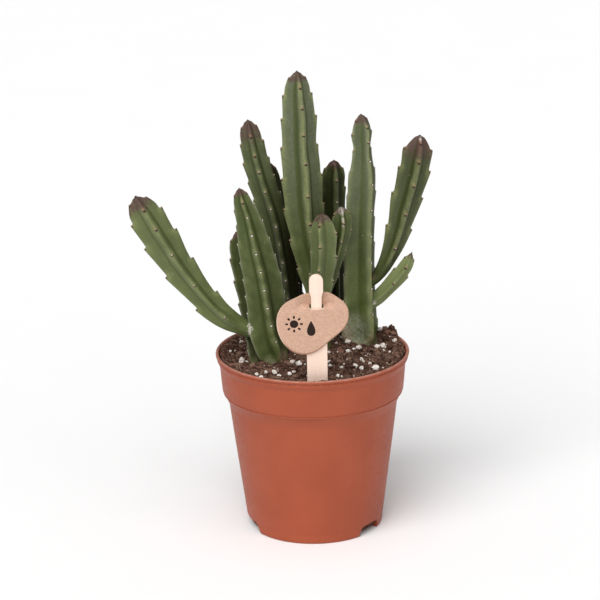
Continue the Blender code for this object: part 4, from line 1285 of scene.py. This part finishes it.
def make_soil_bed(settings, material):
    """The filling: a fine grid drawn into a disc, then its side down to the pot's floor."""
    bm = bmesh.new()
    tone = bm.verts.layers.float.new("tone")
    bmesh.ops.create_grid(bm, x_segments=settings.cells, y_segments=settings.cells, size=1.0)
    for vert in bm.verts:
        u, v = vert.co.x, vert.co.y
        x = u * math.sqrt(1.0 - v * v / 2) * SOIL_TOP_R
        y = v * math.sqrt(1.0 - u * u / 2) * SOIL_TOP_R
        z = soil_top(x, y) + crumbling(x, y)
        room = radius_at(LIP_INSIDE, z) - SOIL_GAP
        inside = min(1.0, room / max(math.hypot(x, y), MERGE))
        vert.co = (x * inside, y * inside, z)
        # Paler where the bed's crumbs stand high, darker where they sink
        vert[tone] = RAISED_CRUMB_TONE * smooth_step(*RAISED_CRUMB_HEIGHTS, crumbling(x, y))
    for z in (BAND_TOP_Z, BAND_LOW_Z, BODY_TOP_Z, POT_FLOOR + SOIL_GAP):
        lower_rim(bm, radius_at(WALL_OUTSIDE, z) - POT_WALL - SOIL_GAP, z)
    bmesh.ops.holes_fill(bm, edges=[e for e in bm.edges if e.is_boundary])
    bmesh.ops.recalc_face_normals(bm, faces=bm.faces)
    add_shape("soil_bed", bm, 180, material, "soil", "soil")


def lower_rim(bm, radius, z):
    """Extrudes the open rim down to this radius and height."""
    rim = [e for e in bm.edges if e.is_boundary]
    for item in bmesh.ops.extrude_edge_only(bm, edges=rim)["geom"]:
        if isinstance(item, bmesh.types.BMVert):
            flat = item.co.xy.normalized() * radius
            item.co = (flat.x, flat.y, z)


def stands_clear(x, y, room):
    """Whether this place on the soil is outside every stem and the stick."""
    for stem, *_ in PLANTS.values():
        foot_x, foot_y, _, radius = stem.points[0]
        if math.hypot(x - foot_x * MM, y - foot_y * MM) < radius * MM * STEM_ROOM + room:
            return False
    return abs(x - STICK_X) > STICK_BODY_HALF + room or y > STICK_Y + STICK_ROOM + room


def scatter(rng, room):
    """A random place on the soil that is clear of the stems and of the larger perlite grains."""
    reach = SOIL_TOP_R - SOIL_GAP - room
    while True:
        x, y = rng.uniform(-reach, reach), rng.uniform(-reach, reach)
        away = (math.hypot(x - gx * MM, y - gy * MM) - width * MM / 2 for gx, gy, width in PERLITE)
        if math.hypot(x, y) < reach and min(away) > room * 0.7 and stands_clear(x, y, room):
            return x, y


def tumbled(rng, tilt):
    """A random turn about Z, after a tilt of at most this much."""
    turned = Matrix.Rotation(rng.uniform(0.0, math.tau), 3, "Z")
    return turned @ Matrix.Rotation(rng.uniform(-tilt, tilt), 3, "X")


def add_lump(bm, rng, spot, size, detail, raggedness):
    """One rounded crumb: an icosphere, stretched, turned and dented."""
    turned = tumbled(rng, 0.6)
    stretch = Vector([rng.uniform(*limits) for limits in LUMP_STRETCH]) * size / 2
    seed = Vector([rng.uniform(0.0, NOISE_REACH) for _ in range(3)])
    tone = rng.random()
    layer = bm.verts.layers.float["tone"]
    for vert in bmesh.ops.create_icosphere(bm, subdivisions=detail, radius=1.0)["verts"]:
        dent = 1.0 + raggedness * noise.noise(vert.co * 1.9 + seed)
        vert.co = spot + turned @ (vert.co * stretch * dent)
        vert[layer] = tone


def toned():
    """An empty bmesh whose points carry a tone."""
    bm = bmesh.new()
    bm.verts.layers.float.new("tone")
    return bm


def make_crumbs(settings, material):
    """Loose crumbs of peat over the whole bed, and a spiky heap at the back right."""
    rng = random.Random(11)
    bm = toned()
    for _ in range(settings.crumbs):
        size = (CRUMB_LEAST + CRUMB_MORE * rng.random() ** CRUMB_POWER) * MM
        x, y = scatter(rng, size * 0.6)
        detail = 2 if size > LARGE_CRUMB else 1
        add_lump(bm, rng, on_soil(x, y, size * 0.15), size, detail, 0.8)
    for _ in range(SPIKY_CRUMBS):
        x = (SPIKY_X + rng.gauss(0, SPIKY_SPREAD[0])) * MM
        y = (SPIKY_Y + rng.gauss(0, SPIKY_SPREAD[1])) * MM
        if math.hypot(x, y) < SPIKY_REACH:
            size = rng.uniform(*SPIKY_SIZES) * MM
            add_lump(bm, rng, on_soil(x, y, size * 0.3), size, 1, 1.0)
    add_shape("soil_crumbs", bm, 50, material, "soil")


def make_perlite(settings):
    """White grains: the larger ones each in its place, and small ones in between."""
    rng = random.Random(5)
    bm = toned()
    for x, y, width in PERLITE:
        size = width * MM * 1.25
        add_lump(bm, rng, on_soil(x * MM, y * MM, size * 0.33), size, 2, 0.55)
    for _ in range(settings.small_perlite):
        size = rng.uniform(*SMALL_PERLITE_SIZES) * MM
        x, y = scatter(rng, size / 2)
        add_lump(bm, rng, on_soil(x, y, size * 0.3), size, 1, 0.6)
    add_shape("perlite_grains", bm, 35, perlite_material(settings), "soil")


def append(bm, part, tone):
    """Adds a small shape to the piece, with one tone all over."""
    layer = part.verts.layers.float.new("tone")
    for vert in part.verts:
        vert[layer] = tone
    mesh = mesh_from(part, "part")
    bm.from_mesh(mesh)
    bpy.data.meshes.remove(mesh)


def add_fibre(bm, rng, spot, length, radius):
    """One curved fibre that lies on the soil with one end raised a little."""
    part = bmesh.new()
    add_tube(part, 4, FIBRE_STEPS, far_radius=0.5)
    heading = rng.uniform(0.0, math.tau)
    bend = rng.uniform(*FIBRE_BENDS)
    rise = rng.uniform(*FIBRE_RISES) * length
    for vert in part.verts:
        share = vert.co.z / FIBRE_STEPS
        turned = heading + bend * share
        x = spot[0] + math.cos(turned) * share * length
        y = spot[1] + math.sin(turned) * share * length
        inside = min(1.0, FIBRE_REACH / math.hypot(x, y))
        aside = Vector((-math.sin(turned), math.cos(turned), 0.0))
        middle = on_soil(x * inside, y * inside, radius * 1.6 + rise * (share + 0.5) ** 2)
        vert.co = middle + aside * vert.co.x * radius + Vector((0.0, 0.0, vert.co.y * radius))
    append(bm, part, rng.random())


def make_fibres(settings):
    """Thin coir fibres lying over the crumbs."""
    rng = random.Random(23)
    bm = toned()
    for _ in range(settings.fibres):
        spot = scatter(rng, 1.0 * MM)
        length = rng.uniform(*FIBRE_LENGTHS) * MM
        add_fibre(bm, rng, spot, length, rng.uniform(*FIBRE_RADII) * MM)
    bmesh.ops.recalc_face_normals(bm, faces=bm.faces)
    material = fibre_material(settings, "coir", "fibre", "fibre_dark")
    add_shape("coir_fibres", bm, 180, material, "soil")


def make_bark(settings):
    """Flat chips of bark, pressed into the soil at all angles."""
    rng = random.Random(31)
    bm = toned()
    for _ in range(settings.bark_chips):
        size = rng.uniform(*BARK_SIZES) * MM
        x, y = scatter(rng, size / 2)
        part = bmesh.new()
        bmesh.ops.create_cube(part, size=1.0)
        ease_edges(part, part.edges[:], BARK_EDGE, 2)
        turned = tumbled(rng, 0.5)
        shape = Vector((1.0, rng.uniform(*BARK_WIDTHS), rng.uniform(*BARK_HEIGHTS))) * size
        seed = Vector((x, y, 0.0)) * 900
        spot = on_soil(x, y, size * 0.1)
        for vert in part.verts:
            dent = 1.0 + 0.35 * noise.noise(vert.co * 2.0 + seed)
            vert.co = spot + turned @ (vert.co * shape * dent)
        append(bm, part, rng.random())
    material = fibre_material(settings, "bark", "bark", "peat")
    add_shape("bark_chips", bm, 45, material, "soil")


# Label


def label_frame():
    """Places the label: x across, y up along the stick and z towards the viewer, leaning to -Y."""
    place = Matrix.Translation((STICK_X, STICK_Y, LABEL_PIVOT_Z))
    return place @ Matrix.Rotation(math.pi / 2 + LABEL_LEAN, 4, "X")


def stick_outline():
    """The stick seen from the front, as half widths and heights above the pivot."""
    head_low = STICK_TOP_Z - LABEL_PIVOT_Z - STICK_HEAD_HALF
    neck_low = SLOT_Z - LABEL_PIVOT_Z - STICK_NECK_DROP
    right = [
        (STICK_BODY_HALF, STICK_BOTTOM_Z - LABEL_PIVOT_Z),
        (STICK_BODY_HALF, neck_low - STICK_SHOULDER),
        (STICK_NECK_HALF, neck_low),
        (STICK_NECK_HALF, head_low - STICK_HEAD_DROP - STICK_HEAD_FLARE),
        (STICK_HEAD_HALF, head_low - STICK_HEAD_DROP),
    ]
    for step in range(STICK_ARC_STEPS + 1):
        angle = math.pi / 2 * step / STICK_ARC_STEPS
        high = head_low + STICK_HEAD_HALF * math.sin(angle)
        right.append((STICK_HEAD_HALF * math.cos(angle), high))
    return right + [(-x, y) for x, y in reversed(right[:-1])]


def make_stick(settings):
    """The flat wooden stick: its outline drawn out to a thickness, with its edges eased."""
    bm = bmesh.new()
    back = bm.faces.new([bm.verts.new((x, y, -STICK_THICK / 2)) for x, y in stick_outline()])
    made = bmesh.ops.extrude_face_region(bm, geom=[back], use_keep_orig=True)["geom"]
    raised = [item for item in made if isinstance(item, bmesh.types.BMVert)]
    bmesh.ops.translate(bm, vec=(0.0, 0.0, STICK_THICK), verts=raised)
    bmesh.ops.recalc_face_normals(bm, faces=bm.faces)
    rims = [e for e in bm.edges if abs(e.verts[0].co.z - e.verts[1].co.z) < MERGE]
    ease_edges(bm, rims, STICK_EDGE, 3)
    bmesh.ops.transform(bm, matrix=label_frame(), verts=bm.verts)
    bmesh.ops.recalc_face_normals(bm, faces=bm.faces)
    add_shape("label_stick_wood", bm, 40, wood_material(settings), "stick", "label_stick")


def pebble(angle):
    """The card's outline about the slot: a circle drawn out to the upper right, blunt-cornered."""
    out = CARD_R + CARD_LENGTHENED * math.cos(2.0 * (angle - CARD_LENGTHENED_AT))
    out += CARD_CORNERS * math.cos(3.0 * (angle - CARD_CORNER_AT))
    return CARD_CENTER + Vector((math.cos(angle), math.sin(angle))) * out


def slot_point(angle):
    """The slot's outline: a long narrow oval."""
    return Vector((SLOT_HALF * math.cos(angle), SLOT_GAP * math.sin(angle)))


def card_bend(x, y):
    """How far back the card bends at (x, y) from the slot, as its top lies behind the stick."""
    across = 1.0 - smooth_step(CARD_FLAT_HALF, CARD_BEND_HALF, abs(x))
    step = CARD_STEP + CARD_STEP_GROWTH * max(0.0, abs(x) - CARD_SHARP_HALF)
    return across * smooth_step(-step, step, y) * (STICK_THICK + CARD_THICK + 4 * CLEAR)


def make_card(settings):
    """The label's card: a plate with a slot, through which the stick passes from front to back."""
    bm = bmesh.new()
    rim = bm.verts.layers.float.new("rim")
    rims = []
    for outline in (slot_point, pebble):
        verts = bmesh.ops.create_circle(bm, segments=CARD_SIDES, radius=1.0)["verts"]
        for vert in verts:
            flat = outline(math.atan2(vert.co.y, vert.co.x))
            vert.co = (flat.x, flat.y, 0.0)
            vert[rim] = 1.0 if outline is pebble else 0.0
        rims += [e for e in bm.edges if e.verts[0] in verts and e.verts[1] in verts]
    spokes = bmesh.ops.bridge_loops(bm, edges=rims)["edges"]
    bmesh.ops.subdivide_edges(bm, edges=spokes, cuts=CARD_RINGS - 1)
    front = STICK_THICK / 2 + CLEAR + CARD_THICK / 2
    for vert in bm.verts:
        vert[rim] = max(0.0, 1.0 - (1.0 - vert[rim]) * CARD_RINGS)
        vert.co.z = front - card_bend(vert.co.x, vert.co.y)
    bmesh.ops.translate(bm, vec=(0.0, SLOT_Z - LABEL_PIVOT_Z, 0.0), verts=bm.verts)
    bmesh.ops.recalc_face_normals(bm, faces=bm.faces)
    bmesh.ops.transform(bm, matrix=label_frame(), verts=bm.verts)
    mesh = mesh_from(bm, "label_card_board", 50)
    mesh.materials.append(card_material(settings))
    mesh.materials.append(card_edge_material(settings))
    card = add_piece("label_card_board", mesh, None, "card", "label_card")
    wall = card.modifiers.new("thickness", "SOLIDIFY")
    wall.thickness = CARD_THICK
    wall.offset = 0.0
    wall.material_offset_rim = 1
    eased = card.modifiers.new("edge", "BEVEL")
    eased.width = CARD_EDGE
    eased.segments = 2
    eased.limit_method = "ANGLE"
    eased.angle_limit = math.radians(60)


# Stage


def add_lamp(name, from_left, rise, strength):
    """A wide soft lamp far away, from this many degrees left of the camera and above the floor."""
    data = bpy.data.lights.new(name, "SUN")
    data.energy = strength
    data.angle = LAMP_SOFTNESS
    aside, high = math.radians(from_left), math.radians(rise)
    flat = math.cos(high)
    shine = Vector((math.sin(aside) * flat, math.cos(aside) * flat, -math.sin(high)))
    link_object(name, data).matrix_world = shine.to_track_quat("-Z", "Y").to_matrix().to_4x4()


def floor_material(settings):
    """A pale matt floor with faint clouds."""
    floor = Finish("pale_floor", settings)
    clouds = floor.mottle(12.0)
    floor.colour = floor.mix(floor.times(clouds["Coarse"], 0.2), "floor", "floor_shade")
    return floor.done(floor.span(clouds["Fine"], 0.75, 0.85))


def add_camera():
    """The camera looks down on its target from the front, and is rolled a little."""
    data = bpy.data.cameras.new("camera")
    data.lens = CAMERA_LENS
    data.sensor_width = CAMERA_SENSOR
    data.clip_start = CAMERA_NEAR
    camera = link_object("camera", data)
    rise, roll = CAMERA_HEIGHT_ANGLE, CAMERA_ROLL
    right = Vector((1.0, 0.0, 0.0))
    up = Vector((0.0, math.sin(rise), math.cos(rise)))
    back = Vector((0.0, -math.cos(rise), math.sin(rise)))
    across = right * math.cos(roll) + up * math.sin(roll)
    upward = up * math.cos(roll) - right * math.sin(roll)
    turned = Matrix((across, upward, back)).transposed().to_4x4()
    camera.matrix_world = Matrix.Translation(CAMERA_TARGET + back * CAMERA_DISTANCE) @ turned
    bpy.context.scene.camera = camera


# Settings, with the sizes in metres and the colours in linear light


def tint(name, description, default):
    return bpy.props.FloatVectorProperty(
        name=name, description=description, default=default, subtype="COLOR", min=0.0, max=1.0
    )


def amount(name, description, default, low, high):
    return bpy.props.IntProperty(
        name=name, description=description, default=default, min=low, max=high
    )


def spacing(name, description, default):
    return bpy.props.FloatProperty(
        name=name, description=description, default=default, unit="LENGTH", precision=5
    )


def brightness(name, description, default):
    return bpy.props.FloatProperty(name=name, description=description, default=default)


class StemSettings(bpy.types.PropertyGroup):
    """Fineness and colours of the stems."""

    sides: amount("Sides", "Points round each stem's section", 64, 16, 128)
    fine_step: spacing("Fine Step", "Spacing of the rings at the teeth", 0.24 * MM)
    coarse_step: spacing("Coarse Step", "Spacing of the rings between the teeth", 0.9 * MM)
    flank: tint("Flank", "Sides of the ribs", (0.096, 0.12, 0.033))
    flank_deep: tint("Flank Deep", "Darker patches of the sides", (0.054, 0.072, 0.016))
    # Colour of the painted shade in the valleys between the ribs
    valley_shade: tint("Valley", "Between the ribs", (0.052, 0.068, 0.014))
    bloom: tint("Bloom", "Grey waxy skin of the older flanks", (0.124, 0.138, 0.088))
    # Colour of the crest strips: the skin's paler crests, partly painted highlight
    crest: tint("Crest", "Yellow-green strip along each rib", (0.225, 0.245, 0.105))
    fresh: tint("Fresh", "Skin of the lighter branches", (0.175, 0.205, 0.08))
    # Colour of the painted shade laid into the skin of shaded stems
    painted_shade: tint("Dusk", "Skin of the stems that grow in the shade", (0.02, 0.019, 0.008))
    blush: tint("Blush", "Purple-brown tips", (0.085, 0.05, 0.04))
    glow: tint("Glow", "Orange spot above each leaf scar", (0.36, 0.17, 0.11))
    # Also laid as painted shadow under the teeth and as painted shade on the stubs' feet
    scar: tint("Scar", "Dark leaf scars", (0.035, 0.016, 0.012))
    margin: tint("Margin", "Grey-white lines beside the crests", (0.3, 0.3, 0.23))
    chalk: tint("Chalk", "Weathered scars and dots", (0.72, 0.66, 0.6))
    cork: tint("Cork", "Corky skin near the soil", (0.13, 0.075, 0.04))
    cork_pale: tint("Cork Pale", "Lighter ridges of the cork", (0.32, 0.23, 0.15))


class PotSettings(bpy.types.PropertyGroup):
    """Fineness and colours of the pot."""

    sides: amount("Sides", "Steps round the pot", 192, 48, 256)
    colour: tint("Colour", "Terracotta plastic", (0.345, 0.072, 0.03))
    colour_deep: tint("Colour Deep", "Faint darker clouds", (0.31, 0.062, 0.025))
    scuff: tint("Scuff", "Pale rubbed streaks", (0.5, 0.2, 0.13))
    # Colour of the painted highlight on top of the rim
    rim: tint("Rim", "Rubbed and dusty top of the rim", (0.42, 0.24, 0.19))
    dirt: tint("Dirt", "Specks of soil", (0.05, 0.02, 0.013))


class SoilSettings(bpy.types.PropertyGroup):
    """Amounts and colours of what the soil is made of."""

    cells: amount("Cells", "Cells across the soil's surface", 160, 40, 240)
    crumbs: amount("Crumbs", "Loose crumbs of peat", 2600, 0, 6000)
    small_perlite: amount("Small Perlite", "White grains too small to place", 150, 0, 1000)
    fibres: amount("Fibres", "Coir fibres", 280, 0, 600)
    bark_chips: amount("Bark Chips", "Chips of bark", 60, 0, 300)
    peat: tint("Peat", "Crumbly peat", (0.2, 0.095, 0.064))
    peat_dark: tint("Peat Dark", "Damp hollows", (0.021, 0.0095, 0.007))
    # Paler peat, laid on the raised parts of the bed and on some loose crumbs
    peat_pale: tint("Peat Pale", "Dry crumbs", (0.42, 0.25, 0.18))
    fibre: tint("Fibre", "Coir fibres", (0.5, 0.32, 0.22))
    fibre_dark: tint("Fibre Dark", "Darker streaks of the coir", (0.16, 0.08, 0.05))
    bark: tint("Bark", "Chips of bark", (0.24, 0.11, 0.07))
    perlite: tint("Perlite", "White grains", (0.8, 0.74, 0.68))
    perlite_stained: tint("Perlite Stained", "Grains stained by the peat", (0.45, 0.34, 0.27))


class LabelSettings(bpy.types.PropertyGroup):
    """Colours of the stick and the card."""

    wood: tint("Wood", "Pale birch", (0.85, 0.66, 0.55))
    wood_grain: tint("Wood Grain", "Darker streaks of the birch", (0.78, 0.58, 0.46))
    wood_pore: tint("Wood Pore", "Short pores", (0.5, 0.3, 0.2))
    card: tint("Card", "Kraft card", (0.6, 0.39, 0.285))
    card_fibre: tint("Card Fibre", "Darker fibres of the card", (0.49, 0.3, 0.215))
    card_fleck: tint("Card Fleck", "Flecks in the card", (0.26, 0.13, 0.08))
    # The cut edge's colour, made browner as painted shade of the edge
    card_cut_and_shade: tint("Card Cut", "Pale cut edge", (0.5, 0.3, 0.2))
    ink: tint("Ink", "Printed care marks", (0.012, 0.006, 0.005))


class StageSettings(bpy.types.PropertyGroup):
    """Light and floor."""

    key: brightness("Key", "Soft lamp at the front left", 2.6)
    fill: brightness("Fill", "Soft lamp at the right", 0.5)
    top: brightness("Top", "Soft lamp overhead", 0.5)
    sky: brightness("Sky", "Brightness of the white surroundings", 0.3)
    floor: tint("Floor", "Pale floor", (0.93, 0.93, 0.93))
    floor_shade: tint("Floor Shade", "Faint clouds in the floor", (0.9, 0.9, 0.9))


class CARRION_OT_stage(bpy.types.Operator):
    """Makes the floor, the soft lamps and the camera"""

    bl_idname = "carrion.stage"
    bl_label = "Make Stage"

    def execute(self, context):
        settings = context.scene.carrion_stage
        bm = bmesh.new()
        bmesh.ops.create_grid(bm, x_segments=2, y_segments=2, size=FLOOR_HALF)
        floor = link_object("floor", mesh_from(bm, "floor"))
        floor.data.materials.append(floor_material(settings))
        for name, from_left, rise in LAMPS:
            add_lamp(name, from_left, rise, getattr(settings, name))
        world = bpy.data.worlds.new("studio")
        world.use_nodes = True
        sky = world.node_tree.nodes["Background"]
        sky.inputs["Color"].default_value = (1.0, 1.0, 1.0, 1.0)
        sky.inputs["Strength"].default_value = settings.sky
        context.scene.world = world
        context.scene.view_settings.view_transform = "Standard"
        add_camera()
        return {"FINISHED"}


class CARRION_OT_pot(bpy.types.Operator):
    """Makes the moulded pot with its lip, band and drain notches"""

    bl_idname = "carrion.pot"
    bl_label = "Make Pot"

    def execute(self, context):
        make_pot(context.scene.carrion_pot)
        return {"FINISHED"}


class CARRION_OT_soil(bpy.types.Operator):
    """Makes the soil with its crumbs, perlite, fibres and bark"""

    bl_idname = "carrion.soil"
    bl_label = "Make Soil"

    def execute(self, context):
        settings = context.scene.carrion_soil
        peat = peat_material(settings)
        make_soil_bed(settings, peat)
        make_crumbs(settings, peat)
        make_perlite(settings)
        make_fibres(settings)
        make_bark(settings)
        return {"FINISHED"}


class CARRION_OT_stems(bpy.types.Operator):
    """Makes the ribbed stems with their branches and leaf stubs"""

    bl_idname = "carrion.stems"
    bl_label = "Make Stems"

    def execute(self, context):
        settings = context.scene.carrion_stems
        skin = stem_material(settings)
        stub = leaf_scar_material(settings)
        for name, growths in PLANTS.items():
            make_plant(name, growths, skin, stub)
        return {"FINISHED"}


class CARRION_OT_label(bpy.types.Operator):
    """Makes the wooden stick and the card that hangs on it"""

    bl_idname = "carrion.label"
    bl_label = "Make Label"

    def execute(self, context):
        settings = context.scene.carrion_label
        make_stick(settings)
        make_card(settings)
        return {"FINISHED"}


class CARRION_PT_panel(bpy.types.Panel):
    """Lists the sizes, the colours and the steps"""

    bl_idname = "CARRION_PT_panel"
    bl_label = "Potted Carrion Flower"
    bl_space_type = "VIEW_3D"
    bl_region_type = "UI"
    bl_category = "Potted Plant"

    def draw(self, context):
        for operator, group in STEPS:
            box = self.layout.box()
            settings = getattr(context.scene, group)
            for key in settings.__annotations__:
                box.prop(settings, key)
            box.operator(operator.bl_idname)


STEPS = (
    (CARRION_OT_stage, "carrion_stage"),
    (CARRION_OT_pot, "carrion_pot"),
    (CARRION_OT_soil, "carrion_soil"),
    (CARRION_OT_stems, "carrion_stems"),
    (CARRION_OT_label, "carrion_label"),
)
GROUPS = {
    "carrion_stage": StageSettings,
    "carrion_pot": PotSettings,
    "carrion_soil": SoilSettings,
    "carrion_stems": StemSettings,
    "carrion_label": LabelSettings,
}


def register():
    for group in GROUPS.values():
        bpy.utils.register_class(group)
    for operator, _ in STEPS:
        bpy.utils.register_class(operator)
    bpy.utils.register_class(CARRION_PT_panel)
    for name, group in GROUPS.items():
        setattr(bpy.types.Scene, name, bpy.props.PointerProperty(type=group))


def unregister():
    for name in GROUPS:
        delattr(bpy.types.Scene, name)
    bpy.utils.unregister_class(CARRION_PT_panel)
    for operator, _ in reversed(STEPS):
        bpy.utils.unregister_class(operator)
    for group in reversed(GROUPS.values()):
        bpy.utils.unregister_class(group)


def main():
    register()
    bpy.ops.carrion.stage()
    bpy.ops.carrion.pot()
    bpy.ops.carrion.soil()
    bpy.ops.carrion.stems()
    bpy.ops.carrion.label()


if __name__ == "__main__":
    main()
